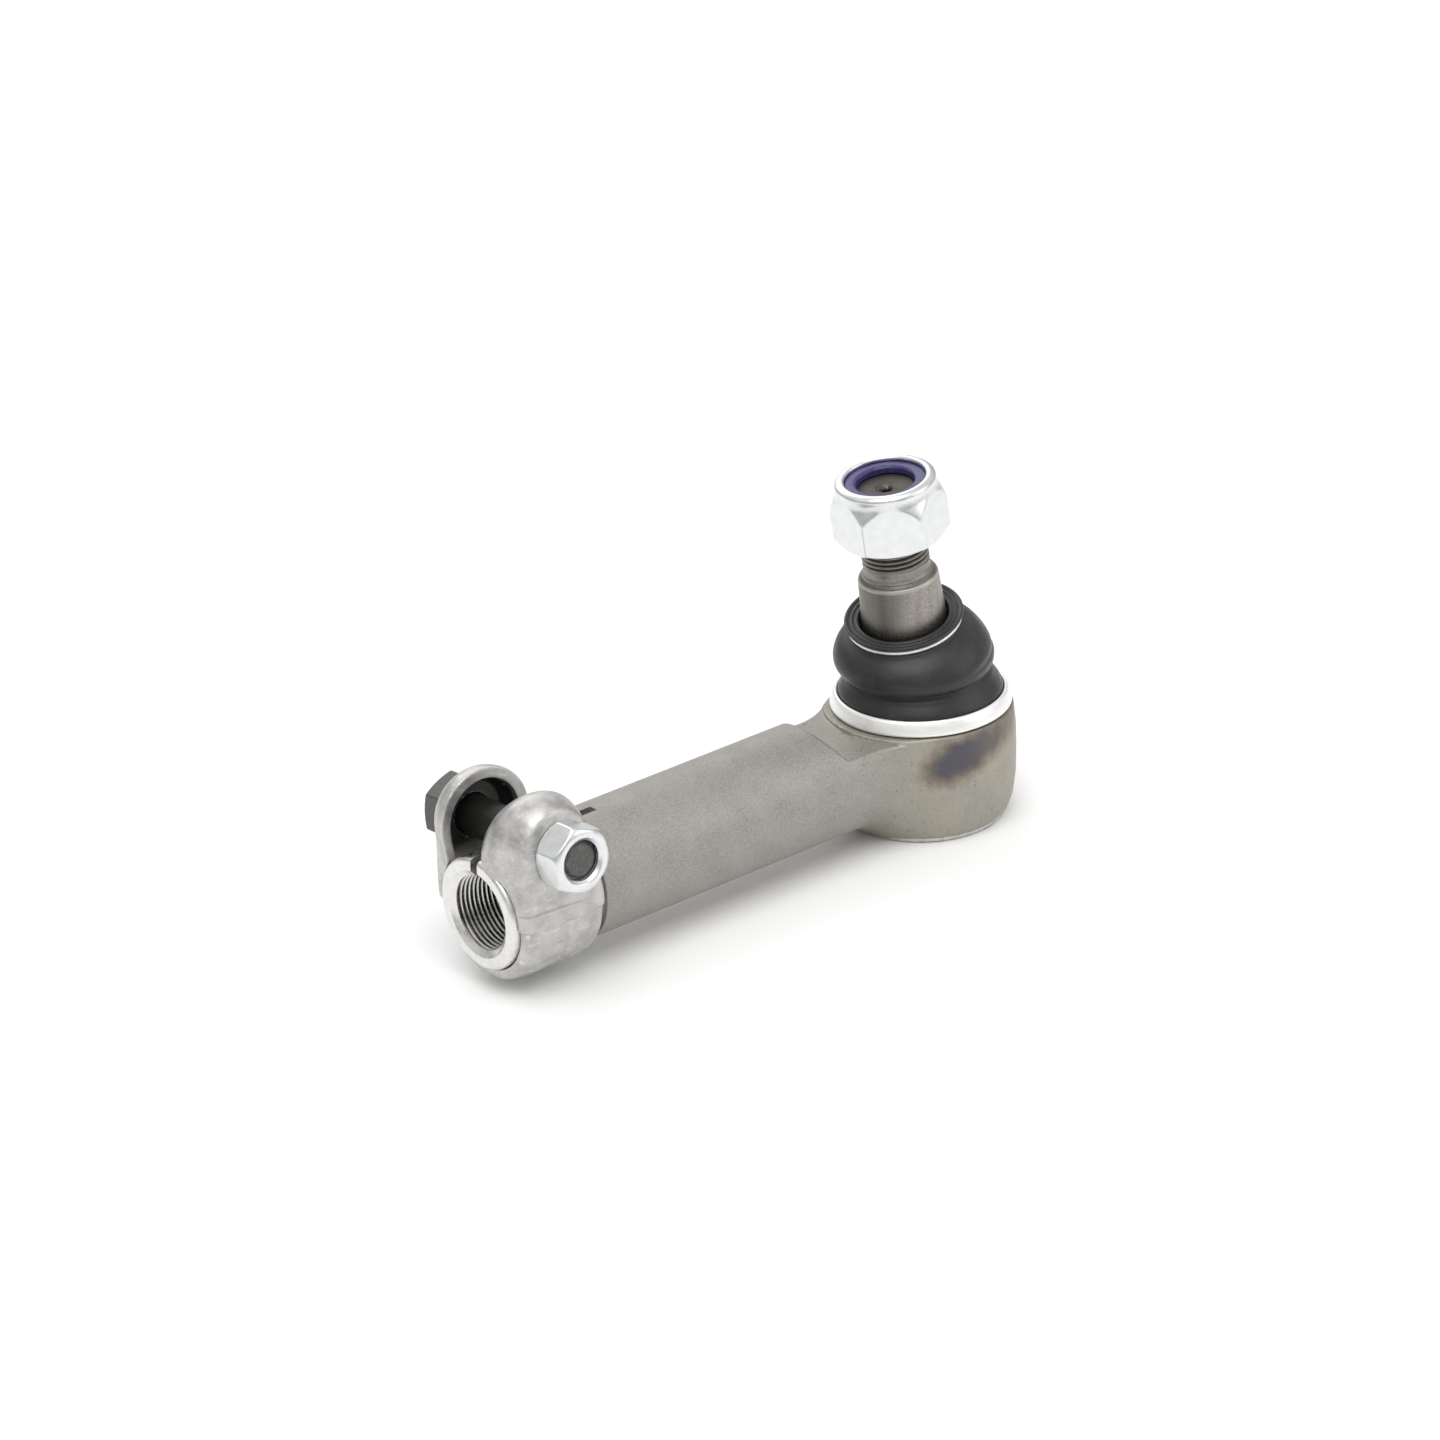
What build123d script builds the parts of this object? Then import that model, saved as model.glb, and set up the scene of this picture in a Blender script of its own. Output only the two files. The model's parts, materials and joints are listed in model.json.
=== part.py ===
"""Heavy-duty tie rod end: slotted female-thread tube with a bolted clamp, ball joint, boot and lock nut.

Frame: origin at the ball's centre, +X from the tube's mouth towards the head, +Z up through the head.
All sizes are millimetres.
"""
from build123d import *
import math
import os

os.makedirs("parts", exist_ok=True)

# ---- housing: tube ------------------------------------------------------------------------------
TUBE_Z = 5.0             # tube axis above the ball's centre
TUBE_R = 18.35           # turned outside of the tube
SEAT_R = 16.8            # turned-down end under the clamp
MOUTH_X = -166.5         # face of the open end
SHOULDER_X = -134.4      # step between the clamp seat and the tube
THREAD_MAJOR_R = 12.0    # M24 x 1.5 female thread
THREAD_WALL_R = 11.19    # its minor radius, which is the bore's wall
DRILL_DEPTH = 74.0       # tapping drill, with a conical end
SLOT_WIDTH = 3.0
SLOT_END_X = -123.5
MOUTH_CHAMFER = 0.9
DRILL_POINT = 6.0         # length of the bore's conical end

# ---- housing: head ------------------------------------------------------------------------------
HEAD_R = 27.9
HEAD_TOP_Z = 16.3
HEAD_TOP_R = 27.1
HEAD_FOOT_Z = -18.6
HEAD_FOOT_R = 23.6
FLAT_Z = 14.9            # flat on the neck in front of the ring seat
FLAT_START_X = -38.0
NECK_START_X = -46.0
NECK_START_HALF_Y = 9.0   # half widths of the neck where it leaves the tube
NECK_MID_X = -18.0
NECK_MID_HALF_Y = 20.0    # and where it meets the round head
NECK_END_X = -8.0
NECK_END_HALF_Y = 25.0
NECK_LOW_Z = -11.0
NECK_HIGH_Z = 11.0
CUT_HEIGHT = 20.0         # height of the cuts that level the neck and the head
CAVITY_R = 19.5
SHOULDER_Z = 7.8         # inside shoulder that carries the upper seat
OPENING_LOW_R = 15.3
OPENING_HIGH_R = 18.8
PLATE_R = 20.9
PLATE_LOW_Z = -17.5
PLATE_HIGH_Z = -15.3
LIP_R = 19.9             # rolled lip that holds the closure plate

# ---- ball stud ----------------------------------------------------------------------------------
STUD_TILT = 7.0          # rest lean of the stud towards the tube, degrees
BALL_R = 16.0
BALL_FLAT_H = -11.0
NECK_R = 9.0
CONE_FOOT_H = 40.0
CONE_FOOT_R = 12.85
CONE_TOP_H = 60.0
CONE_TOP_R = 11.85       # taper 1:10
SHOULDER_R = 10.7
RELIEF_R = 10.2
RELIEF_TOP_H = 64.0
STUD_THREAD_R = 9.9      # M20 x 1.5, under its crests by the running clearance
STUD_END_H = 88.4
CENTRE_HOLE_R = 2.1
CENTRE_HOLE_DEPTH = 4.0

# ---- lock nut -----------------------------------------------------------------------------------
NUT_LOW_H = 72.4
NUT_HEX_TOP_H = 86.2
NUT_TOP_H = 92.1
NUT_FLATS = 30.0
NUT_COLLAR_R = 15.0
NUT_BORE_R = 9.98
INSERT_LOW_H = 86.9
INSERT_HIGH_H = 90.9
INSERT_POCKET_R = 12.7
INSERT_R = 12.64
INSERT_HOLE_R = 8.5
RIM_HOLE_R = 11.95

# ---- boot ---------------------------------------------------------------------------------------
BOOT_WALL = 2.0
COLLAR_TILT_X = 12.0     # lean of the boot's collar towards the tube, degrees
COLLAR_TILT_Y = 4.6      # its lean to the -Y side, degrees
COLLAR_H = 44.4          # ring height along the stud
RING_LOW_Z = 16.6
RING_HIGH_Z = 21.2
RING_LOW_R = 27.1
RING_HIGH_R = 24.9
TOP_RING_R = 17.1
TOP_RING_SECTION = 0.55
LIP_DISC_R = 17.6
BOOT_HOLE_R = 13.4

# ---- clamp --------------------------------------------------------------------------------------
CLAMP_ROLL = 3.0         # turn of the clamp about the tube, degrees
CLAMP_FRONT_X = -164.5
CLAMP_REAR_X = -136.7
BAND_IN_R = 17.15
SHEET = 3.4
BOLT_X = -151.5
BOLT_H = 20.5            # bolt axis above the tube axis
EAR_R = 15.3
EAR_FACE = 21.8          # outside of each ear from the middle plane
EAR_RIM = 10.0           # inner edge of each ear's flange
BOLT_R = 5.9             # M12 shank and thread
BOLT_HOLE_R = 6.5
BOLT_FLATS = 18.0
HEAD_HEIGHT = 7.5
CLAMP_NUT_HEIGHT = 10.4
CLAMP_NUT_BORE_R = 5.98
BOLT_END_SETBACK = 1.2   # bolt end under the nut's outer face
GROOVE_R = 6.4           # cross groove in the tube that the bolt lies in


def tilted(lean_x, lean_y):
    """Unit vector that leans from +Z by two angles, towards -X and towards -Y."""
    return Vector(-math.tan(math.radians(lean_x)), -math.tan(math.radians(lean_y)), 1).normalized()


def profile_plane(axis_dir, origin=(0, 0, 0)):
    """Plane whose local X is radial and whose local Y runs along axis_dir."""
    radial = Vector(0, 1, 0).cross(axis_dir).normalized()
    return Plane(origin=origin, x_dir=radial, z_dir=radial.cross(axis_dir))


STUD_DIR = tilted(STUD_TILT, 0)
COLLAR_DIR = tilted(COLLAR_TILT_X, COLLAR_TILT_Y)
COLLAR_CENTRE = STUD_DIR * COLLAR_H
STUD_PLANE = profile_plane(STUD_DIR)
STUD_AXIS = Axis((0, 0, 0), STUD_DIR)
COLLAR_PLANE = profile_plane(COLLAR_DIR, COLLAR_CENTRE)
COLLAR_AXIS = Axis(COLLAR_CENTRE, COLLAR_DIR)

ROLL = math.radians(CLAMP_ROLL)
CLAMP_UP = Vector(0, math.sin(ROLL), math.cos(ROLL))
CLAMP_SIDE = Vector(0, math.cos(ROLL), -math.sin(ROLL))
TUBE_CENTRE = Vector(0, 0, TUBE_Z)
CLAMP_SECTION = Plane(origin=TUBE_CENTRE, x_dir=CLAMP_SIDE, z_dir=CLAMP_SIDE.cross(CLAMP_UP))
BOLT_CENTRE = TUBE_CENTRE + Vector(BOLT_X, 0, 0) + CLAMP_UP * BOLT_H
BOLT_PLANE = Plane(origin=BOLT_CENTRE, x_dir=(-1, 0, 0), z_dir=CLAMP_SIDE)


def solid_of_revolution(points, plane, axis):
    """Closed outline of (radius, height) points in plane, turned about axis."""
    with BuildPart() as turned:
        with BuildSketch(plane):
            with BuildLine():
                Polyline(*points, close=True)
            make_face()
        revolve(axis=axis)
    return turned.part


# ---- housing ------------------------------------------------------------------------------------
with BuildPart() as housing:
    # forged head
    with BuildSketch(Plane.XZ):
        with BuildLine():
            Polyline(
                (0, HEAD_FOOT_Z),
                (HEAD_FOOT_R, HEAD_FOOT_Z),
                (HEAD_FOOT_R + 0.9, HEAD_FOOT_Z + 1.6),
                (HEAD_R - 1.9, HEAD_FOOT_Z + 3.6),
                (HEAD_R - 0.2, -6),
                (HEAD_R, 3),
                (HEAD_R, 9),
                (HEAD_TOP_R, HEAD_TOP_Z),
                (0, HEAD_TOP_Z),
                close=True,
            )
        make_face()
    revolve(axis=Axis.Z)
    # tube that runs into the head
    with BuildSketch(Plane.YZ.offset(SHOULDER_X)):
        with Locations((0, TUBE_Z)):
            Circle(TUBE_R)
    extrude(amount=-SHOULDER_X)
    # clamp seat
    with BuildSketch(Plane.YZ.offset(MOUTH_X)):
        with Locations((0, TUBE_Z)):
            Circle(SEAT_R)
    extrude(amount=SHOULDER_X - MOUTH_X)
    # neck that widens from the tube to the head
    with BuildSketch(Plane.XY.offset(NECK_LOW_Z)):
        with BuildLine():
            Polyline(
                (NECK_START_X, -NECK_START_HALF_Y),
                (NECK_MID_X, -NECK_MID_HALF_Y),
                (NECK_END_X, -NECK_END_HALF_Y),
                (NECK_END_X, NECK_END_HALF_Y),
                (NECK_MID_X, NECK_MID_HALF_Y),
                (NECK_START_X, NECK_START_HALF_Y),
                close=True,
            )
        make_face()
    extrude(amount=NECK_HIGH_Z - NECK_LOW_Z)
    # flat in front of the ring seat
    with BuildSketch(Plane.XY.offset(FLAT_Z)):
        with Locations(((FLAT_START_X - HEAD_TOP_R) / 2, 0)):
            Rectangle(-HEAD_TOP_R - FLAT_START_X, 2 * HEAD_R)
    extrude(amount=CUT_HEIGHT, mode=Mode.SUBTRACT)
    with BuildSketch(Plane.XY.offset(HEAD_TOP_Z)):
        Rectangle(-2 * FLAT_START_X, 2 * HEAD_R)
    extrude(amount=CUT_HEIGHT, mode=Mode.SUBTRACT)
    # cavity, closure seat and stud opening
    with BuildSketch(Plane.XZ):
        with BuildLine():
            Polyline(
                (0, HEAD_FOOT_Z - 1),
                (LIP_R, HEAD_FOOT_Z - 1),
                (LIP_R, PLATE_LOW_Z - 0.02),
                (PLATE_R + 0.05, PLATE_LOW_Z - 0.02),
                (PLATE_R + 0.05, PLATE_HIGH_Z + 0.02),
                (CAVITY_R, PLATE_HIGH_Z + 0.02),
                (CAVITY_R, SHOULDER_Z),
                (OPENING_LOW_R, SHOULDER_Z),
                (OPENING_HIGH_R, HEAD_TOP_Z + 1),
                (0, HEAD_TOP_Z + 1),
                close=True,
            )
        make_face()
    revolve(axis=Axis.Z, mode=Mode.SUBTRACT)
    # female thread's bore with its drill point and mouth chamfer
    with BuildSketch(Plane.XZ):
        with BuildLine():
            Polyline(
                (MOUTH_X - 1, TUBE_Z),
                (MOUTH_X - 1, TUBE_Z + THREAD_MAJOR_R + MOUTH_CHAMFER),
                (MOUTH_X, TUBE_Z + THREAD_MAJOR_R + 0.1),
                (MOUTH_X + MOUTH_CHAMFER, TUBE_Z + THREAD_WALL_R),
                (MOUTH_X + DRILL_DEPTH, TUBE_Z + THREAD_WALL_R),
                (MOUTH_X + DRILL_DEPTH + DRILL_POINT, TUBE_Z),
                close=True,
            )
        make_face()
    revolve(axis=Axis((0, 0, TUBE_Z), (1, 0, 0)), mode=Mode.SUBTRACT)
    # lengthwise slot that lets the clamp squeeze the thread
    with BuildSketch(Plane.XY.offset(TUBE_Z)):
        with Locations(((MOUTH_X + SLOT_END_X) / 2, 0)):
            Rectangle(SLOT_END_X - MOUTH_X + 1, SLOT_WIDTH)
    extrude(amount=TUBE_R + 5, mode=Mode.SUBTRACT)
    # cross groove under the clamp bolt
    with BuildSketch(BOLT_PLANE.offset(-TUBE_R)):
        Circle(GROOVE_R)
    extrude(amount=2 * TUBE_R, mode=Mode.SUBTRACT)
housing.part.label = "housing"
export_step(housing.part, "parts/housing.step")

# ---- bearing seats, preload spring and closure ---------------------------------------------------
SEAT_OUT_R = CAVITY_R - 0.05
SOCKET_R = BALL_R + 0.05
LOWER_SEAT_Z = -13.5

with BuildPart() as upper_seat:
    with BuildSketch(Plane.XY):
        Circle(SEAT_OUT_R)
    extrude(amount=SHOULDER_Z)
    Sphere(SOCKET_R, mode=Mode.SUBTRACT)
upper_seat.part.label = "upper_seat"
export_step(upper_seat.part, "parts/upper_seat.step")

with BuildPart() as lower_seat:
    with BuildSketch(Plane.XY.offset(-0.4)):
        Circle(SEAT_OUT_R)
    extrude(amount=LOWER_SEAT_Z + 0.4)
    Sphere(SOCKET_R, mode=Mode.SUBTRACT)
lower_seat.part.label = "lower_seat"
export_step(lower_seat.part, "parts/lower_seat.step")

SPRING_SHEET = 1.0
preload_spring = solid_of_revolution(
    [
        (10, LOWER_SEAT_Z - 0.03),
        (11.5, LOWER_SEAT_Z - 0.03),
        (18, PLATE_HIGH_Z + SPRING_SHEET),
        (18, PLATE_HIGH_Z + 0.03),
        (16.5, PLATE_HIGH_Z + 0.03),
        (10, LOWER_SEAT_Z - 0.03 - SPRING_SHEET),
    ],
    Plane.XZ,
    Axis.Z,
)
preload_spring.label = "preload_spring"
export_step(preload_spring, "parts/preload_spring.step")

SEAL_R = 0.7
with BuildPart() as closure_plate:
    with BuildSketch(Plane.XY.offset(PLATE_LOW_Z)):
        Circle(PLATE_R)
    extrude(amount=PLATE_HIGH_Z - PLATE_LOW_Z)
    # shallow pressed dish in the outside
    with BuildSketch(Plane.XY.offset(PLATE_LOW_Z)):
        Circle(13)
    extrude(amount=0.6, taper=20, mode=Mode.SUBTRACT)
    # seat for the seal at the upper edge
    with BuildSketch(Plane.XY.offset(PLATE_HIGH_Z - 2 * SEAL_R)):
        Circle(PLATE_R)
        Circle(PLATE_R - 2 * SEAL_R, mode=Mode.SUBTRACT)
    extrude(amount=2 * SEAL_R, mode=Mode.SUBTRACT)
closure_plate.part.label = "closure_plate"
export_step(closure_plate.part, "parts/closure_plate.step")

with BuildPart() as closure_seal:
    with BuildSketch(Plane.XZ):
        with Locations((PLATE_R - SEAL_R - 0.02, PLATE_HIGH_Z - SEAL_R)):
            Circle(SEAL_R - 0.02)
    revolve(axis=Axis.Z)
closure_seal.part.label = "closure_seal"
export_step(closure_seal.part, "parts/closure_seal.step")

# ---- ball stud ----------------------------------------------------------------------------------
BALL_FLAT_R = math.sqrt(BALL_R**2 - BALL_FLAT_H**2)
NECK_FOOT_H = math.sqrt(BALL_R**2 - NECK_R**2)

with BuildPart() as ball_stud:
    with BuildSketch(STUD_PLANE):
        with BuildLine():
            ball_arc = ThreePointArc((BALL_FLAT_R, BALL_FLAT_H), (BALL_R, 0), (NECK_R, NECK_FOOT_H))
            Polyline(
                ball_arc @ 1,
                (NECK_R, CONE_FOOT_H - 5),
                (CONE_FOOT_R - 1.2, CONE_FOOT_H - 1.2),
                (CONE_FOOT_R, CONE_FOOT_H + 0.4),
                (CONE_TOP_R, CONE_TOP_H),
                (SHOULDER_R, CONE_TOP_H + 1.1),
                (RELIEF_R, CONE_TOP_H + 1.3),
                (RELIEF_R, RELIEF_TOP_H),
                (STUD_THREAD_R, RELIEF_TOP_H + 0.3),
                (STUD_THREAD_R, STUD_END_H - 1),
                (STUD_THREAD_R - 1, STUD_END_H),
                (CENTRE_HOLE_R, STUD_END_H),
                (CENTRE_HOLE_R - 0.6, STUD_END_H - 1),
                (CENTRE_HOLE_R - 0.6, STUD_END_H - CENTRE_HOLE_DEPTH),
                (0, STUD_END_H - CENTRE_HOLE_DEPTH - 1),
                (0, BALL_FLAT_H),
                ball_arc @ 0,
            )
        make_face()
    revolve(axis=STUD_AXIS)
ball_stud.part.label = "ball_stud"
export_step(ball_stud.part, "parts/ball_stud.step")

# ---- lock nut with its nylon insert -------------------------------------------------------------
HEX_PLANE = Plane(origin=STUD_DIR * NUT_LOW_H, x_dir=STUD_PLANE.x_dir, z_dir=STUD_DIR)
CORNER_R = NUT_FLATS / math.sqrt(3)
NUT_SPIN = 22.0          # rest angle of the nut's corners, degrees

with BuildPart() as lock_nut:
    with BuildSketch(HEX_PLANE):
        RegularPolygon(CORNER_R, 6, rotation=NUT_SPIN)
    extrude(amount=NUT_TOP_H - NUT_LOW_H)
    # turned outline: washer-face chamfer, hexagon chamfer, collar and rolled rim
    with BuildSketch(STUD_PLANE):
        with BuildLine():
            Polyline(
                (0, NUT_LOW_H),
                (CORNER_R - 1.6, NUT_LOW_H),
                (CORNER_R, NUT_LOW_H + 1),
                (CORNER_R, NUT_HEX_TOP_H - 1.6),
                (NUT_COLLAR_R, NUT_HEX_TOP_H),
                (NUT_COLLAR_R, NUT_TOP_H - 2.2),
                (NUT_COLLAR_R - 0.9, NUT_TOP_H - 0.6),
                (NUT_COLLAR_R - 2, NUT_TOP_H),
                (0, NUT_TOP_H),
                close=True,
            )
        make_face()
    revolve(axis=STUD_AXIS, mode=Mode.INTERSECT)
    # bore, insert pocket and rim
    with BuildSketch(STUD_PLANE):
        with BuildLine():
            Polyline(
                (0, NUT_LOW_H - 1),
                (NUT_BORE_R + 1.8, NUT_LOW_H - 1),
                (NUT_BORE_R, NUT_LOW_H + 0.8),
                (NUT_BORE_R, INSERT_LOW_H - 0.05),
                (INSERT_POCKET_R, INSERT_LOW_H - 0.05),
                (INSERT_POCKET_R, INSERT_HIGH_H + 0.05),
                (RIM_HOLE_R, INSERT_HIGH_H + 0.3),
                (RIM_HOLE_R + 0.5, NUT_TOP_H + 0.1),
                (0, NUT_TOP_H + 0.1),
                close=True,
            )
        make_face()
    revolve(axis=STUD_AXIS, mode=Mode.SUBTRACT)
lock_nut.part.label = "lock_nut"
export_step(lock_nut.part, "parts/lock_nut.step")

nylon_insert = solid_of_revolution(
    [
        (NUT_BORE_R, INSERT_LOW_H),
        (INSERT_R, INSERT_LOW_H),
        (INSERT_R, INSERT_HIGH_H),
        (INSERT_HOLE_R, INSERT_HIGH_H),
        (INSERT_HOLE_R, STUD_END_H + 0.1),
        (NUT_BORE_R, STUD_END_H + 0.1),
    ],
    STUD_PLANE,
    STUD_AXIS,
)
nylon_insert.label = "nylon_insert"
export_step(nylon_insert, "parts/nylon_insert.step")

# ---- dust boot and its two rings ----------------------------------------------------------------
BOOT_FOOT_R = 24.5
FLARE_R = 24.3
WAIST_R = 22.1
BULGE_R = 23.4
SLEEVE_TOP_Z = 30.0
BULGE_DIR = tilted(5.0, 1.5)
BULGE_AXIS = Axis((0, 0, 0), BULGE_DIR)
COLLAR_SKIRT = 5.5

with BuildPart() as dust_boot:
    # sleeve that stands on the housing
    with BuildSketch(Plane.XZ):
        with BuildLine():
            Polyline(
                (BOOT_FOOT_R - 3, RING_LOW_Z + 0.1),
                (BOOT_FOOT_R, RING_LOW_Z + 0.1),
                (BOOT_FOOT_R, RING_HIGH_Z - 0.6),
                (FLARE_R, RING_HIGH_Z + 0.6),
                (WAIST_R + 0.4, 26.5),
                (WAIST_R, SLEEVE_TOP_Z),
                (WAIST_R - BOOT_WALL, SLEEVE_TOP_Z),
                (WAIST_R - BOOT_WALL, 26.5),
                (FLARE_R - 2.6, RING_HIGH_Z + 0.4),
                (BOOT_FOOT_R - 3, RING_HIGH_Z - 1),
                close=True,
            )
        make_face()
    revolve(axis=Axis.Z)
    # bulge, which leans about half as far as the stud and the collar
    with BuildSketch(profile_plane(BULGE_DIR)):
        with BuildLine():
            Polyline(
                (WAIST_R - 2.2, SLEEVE_TOP_Z - 2.5),
                (WAIST_R, SLEEVE_TOP_Z - 2.5),
                (WAIST_R, SLEEVE_TOP_Z - 1),
                (BULGE_R, 33),
                (BULGE_R, 37),
                (BULGE_R - 2.2, 40.5),
                (16.6, 41.6),
                (15.5, 41.4),
                (15.5, 40),
                (BULGE_R - 4.2, 39.2),
                (BULGE_R - BOOT_WALL, 36.2),
                (BULGE_R - BOOT_WALL, 33.6),
                (WAIST_R - 2.2, SLEEVE_TOP_Z - 0.5),
                close=True,
            )
        make_face()
    revolve(axis=BULGE_AXIS)
    # collar with the groove for its ring and the sealing disc on top
    with BuildSketch(COLLAR_PLANE):
        with BuildLine():
            Polyline(
                (BOOT_HOLE_R + 1.2, -COLLAR_SKIRT),
                (TOP_RING_R - 1.05, -COLLAR_SKIRT),
                (TOP_RING_R - 1.05, 0.8),
                (LIP_DISC_R, 1.2),
                (LIP_DISC_R, 2.2),
                (BOOT_HOLE_R, 2.2),
                (BOOT_HOLE_R, -2),
                close=True,
            )
        make_face()
    revolve(axis=COLLAR_AXIS)
dust_boot.part.label = "dust_boot"
export_step(dust_boot.part, "parts/dust_boot.step")

boot_lower_ring = solid_of_revolution(
    [
        (BOOT_FOOT_R + 0.35, RING_LOW_Z),
        (RING_LOW_R, RING_LOW_Z),
        (RING_LOW_R, RING_LOW_Z + 0.8),
        (RING_HIGH_R + 0.9, RING_HIGH_Z - 0.4),
        (RING_HIGH_R + 0.35, RING_HIGH_Z),
        (BOOT_FOOT_R + 0.35, RING_HIGH_Z - 0.3),
    ],
    Plane.XZ,
    Axis.Z,
)
boot_lower_ring.label = "boot_lower_ring"
export_step(boot_lower_ring, "parts/boot_lower_ring.step")

with BuildPart() as boot_top_ring:
    with BuildSketch(COLLAR_PLANE):
        with Locations((TOP_RING_R - TOP_RING_SECTION, 0.05)):
            Circle(TOP_RING_SECTION - 0.15)
    revolve(axis=COLLAR_AXIS)
boot_top_ring.part.label = "boot_top_ring"
export_step(boot_top_ring.part, "parts/boot_top_ring.step")

# ---- clamp --------------------------------------------------------------------------------------
BAND_OUT_R = BAND_IN_R + SHEET
EAR_INNER = EAR_FACE - SHEET
EAR_TOP = BOLT_H + EAR_R
FLANGE_FOOT = BAND_OUT_R - 5   # height at which the ears' flanges run out into the band

with BuildPart() as clamp:
    # U-shaped strap: round under the tube, straight up both sides
    with BuildSketch(CLAMP_SECTION.offset(CLAMP_FRONT_X)):
        with BuildLine():
            Polyline(
                (-BAND_OUT_R, 0),
                (-EAR_FACE, BOLT_H - 4),
                (-EAR_FACE, EAR_TOP),
                (-EAR_INNER, EAR_TOP),
                (-EAR_INNER, BOLT_H - 4),
                (-BAND_IN_R, 0),
            )
            ThreePointArc((-BAND_IN_R, 0), (0, -BAND_IN_R), (BAND_IN_R, 0))
            Polyline(
                (BAND_IN_R, 0),
                (EAR_INNER, BOLT_H - 4),
                (EAR_INNER, EAR_TOP),
                (EAR_FACE, EAR_TOP),
                (EAR_FACE, BOLT_H - 4),
                (BAND_OUT_R, 0),
            )
            ThreePointArc((BAND_OUT_R, 0), (0, -BAND_OUT_R), (-BAND_OUT_R, 0))
        make_face()
    extrude(amount=CLAMP_REAR_X - CLAMP_FRONT_X)
    # flanges that cup each ear inwards
    for side in (-1, 1):
        with BuildSketch(BOLT_PLANE.offset(side * EAR_RIM)):
            Circle(EAR_R)
            Circle(EAR_R - SHEET, mode=Mode.SUBTRACT)
        extrude(amount=side * (EAR_INNER - EAR_RIM + 0.5))
    # round the ears off above the bolt and keep the flanges above the band
    with BuildSketch(BOLT_PLANE.offset(-EAR_FACE - 1)):
        Circle(EAR_R)
        with Locations((0, -BOLT_H)):
            Rectangle(2 * EAR_R, 2 * BOLT_H)
        with Locations((0, -BOLT_H - BAND_OUT_R / 2)):
            Rectangle(2 * EAR_R, BAND_OUT_R + 6)
    extrude(amount=2 * EAR_FACE + 2, mode=Mode.INTERSECT)
    # room for the tube inside the cups
    with BuildSketch(Plane.YZ.offset(MOUTH_X - 5)):
        with Locations((0, TUBE_Z)):
            Circle(BAND_IN_R)
    extrude(amount=CLAMP_REAR_X - MOUTH_X + 10, mode=Mode.SUBTRACT)
    # bolt holes
    with BuildSketch(BOLT_PLANE.offset(-EAR_FACE - 1)):
        Circle(BOLT_HOLE_R)
    extrude(amount=2 * EAR_FACE + 2, mode=Mode.SUBTRACT)
clamp.part.label = "clamp"
export_step(clamp.part, "parts/clamp.step")

# ---- clamp bolt and nut -------------------------------------------------------------------------
BOLT_CORNER_R = BOLT_FLATS / math.sqrt(3)
HEAD_SPIN = 35.0         # rest angles of the corners, degrees
CLAMP_NUT_SPIN = 20.0
HEX_CHAMFER = 1.1
HEAD_UNDER = EAR_FACE + 0.02
NUT_UNDER = EAR_FACE + 0.02
NUT_FACE = NUT_UNDER + CLAMP_NUT_HEIGHT
BOLT_SECTION = Plane(origin=BOLT_CENTRE, x_dir=(1, 0, 0), z_dir=Vector(1, 0, 0).cross(CLAMP_SIDE))
BOLT_AXIS = Axis(BOLT_CENTRE, CLAMP_SIDE)

with BuildPart() as clamp_bolt:
    with BuildSketch(BOLT_PLANE.offset(HEAD_UNDER)):
        RegularPolygon(BOLT_CORNER_R, 6, rotation=HEAD_SPIN)
    extrude(amount=HEAD_HEIGHT)
    with BuildSketch(BOLT_SECTION):
        with BuildLine():
            Polyline(
                (0, HEAD_UNDER),
                (BOLT_CORNER_R, HEAD_UNDER),
                (BOLT_CORNER_R, HEAD_UNDER + HEAD_HEIGHT - HEX_CHAMFER),
                (BOLT_CORNER_R - 1.8, HEAD_UNDER + HEAD_HEIGHT),
                (0, HEAD_UNDER + HEAD_HEIGHT),
                close=True,
            )
        make_face()
    revolve(axis=BOLT_AXIS, mode=Mode.INTERSECT)
    with BuildSketch(BOLT_PLANE.offset(HEAD_UNDER)):
        Circle(BOLT_R)
    extrude(amount=-(HEAD_UNDER + NUT_FACE - BOLT_END_SETBACK))
    chamfer(clamp_bolt.faces().sort_by(BOLT_AXIS)[0].edges(), 0.9)
clamp_bolt.part.label = "clamp_bolt"
export_step(clamp_bolt.part, "parts/clamp_bolt.step")

with BuildPart() as clamp_nut:
    with BuildSketch(BOLT_PLANE.offset(-NUT_UNDER)):
        RegularPolygon(BOLT_CORNER_R, 6, rotation=CLAMP_NUT_SPIN)
    extrude(amount=-CLAMP_NUT_HEIGHT)
    with BuildSketch(BOLT_SECTION):
        with BuildLine():
            Polyline(
                (CLAMP_NUT_BORE_R, -NUT_UNDER),
                (BOLT_CORNER_R - 1.8, -NUT_UNDER),
                (BOLT_CORNER_R, -NUT_UNDER - HEX_CHAMFER),
                (BOLT_CORNER_R, -NUT_FACE + HEX_CHAMFER),
                (BOLT_CORNER_R - 1.8, -NUT_FACE),
                (CLAMP_NUT_BORE_R + 1, -NUT_FACE),
                (CLAMP_NUT_BORE_R, -NUT_FACE + 1),
                close=True,
            )
        make_face()
    revolve(axis=BOLT_AXIS, mode=Mode.INTERSECT)
clamp_nut.part.label = "clamp_nut"
export_step(clamp_nut.part, "parts/clamp_nut.step")
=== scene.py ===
"""Looks of the tie rod end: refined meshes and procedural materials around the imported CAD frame.

Geometry is worked out in millimetres in the row frame (origin at the ball's centre, +X from the
tube's mouth to the head, +Z up through the head) and scaled to metres when a mesh is made.
"""
import itertools
import json
import math

import bmesh
import bpy
import numpy as np
from mathutils import Matrix, Vector


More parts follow.
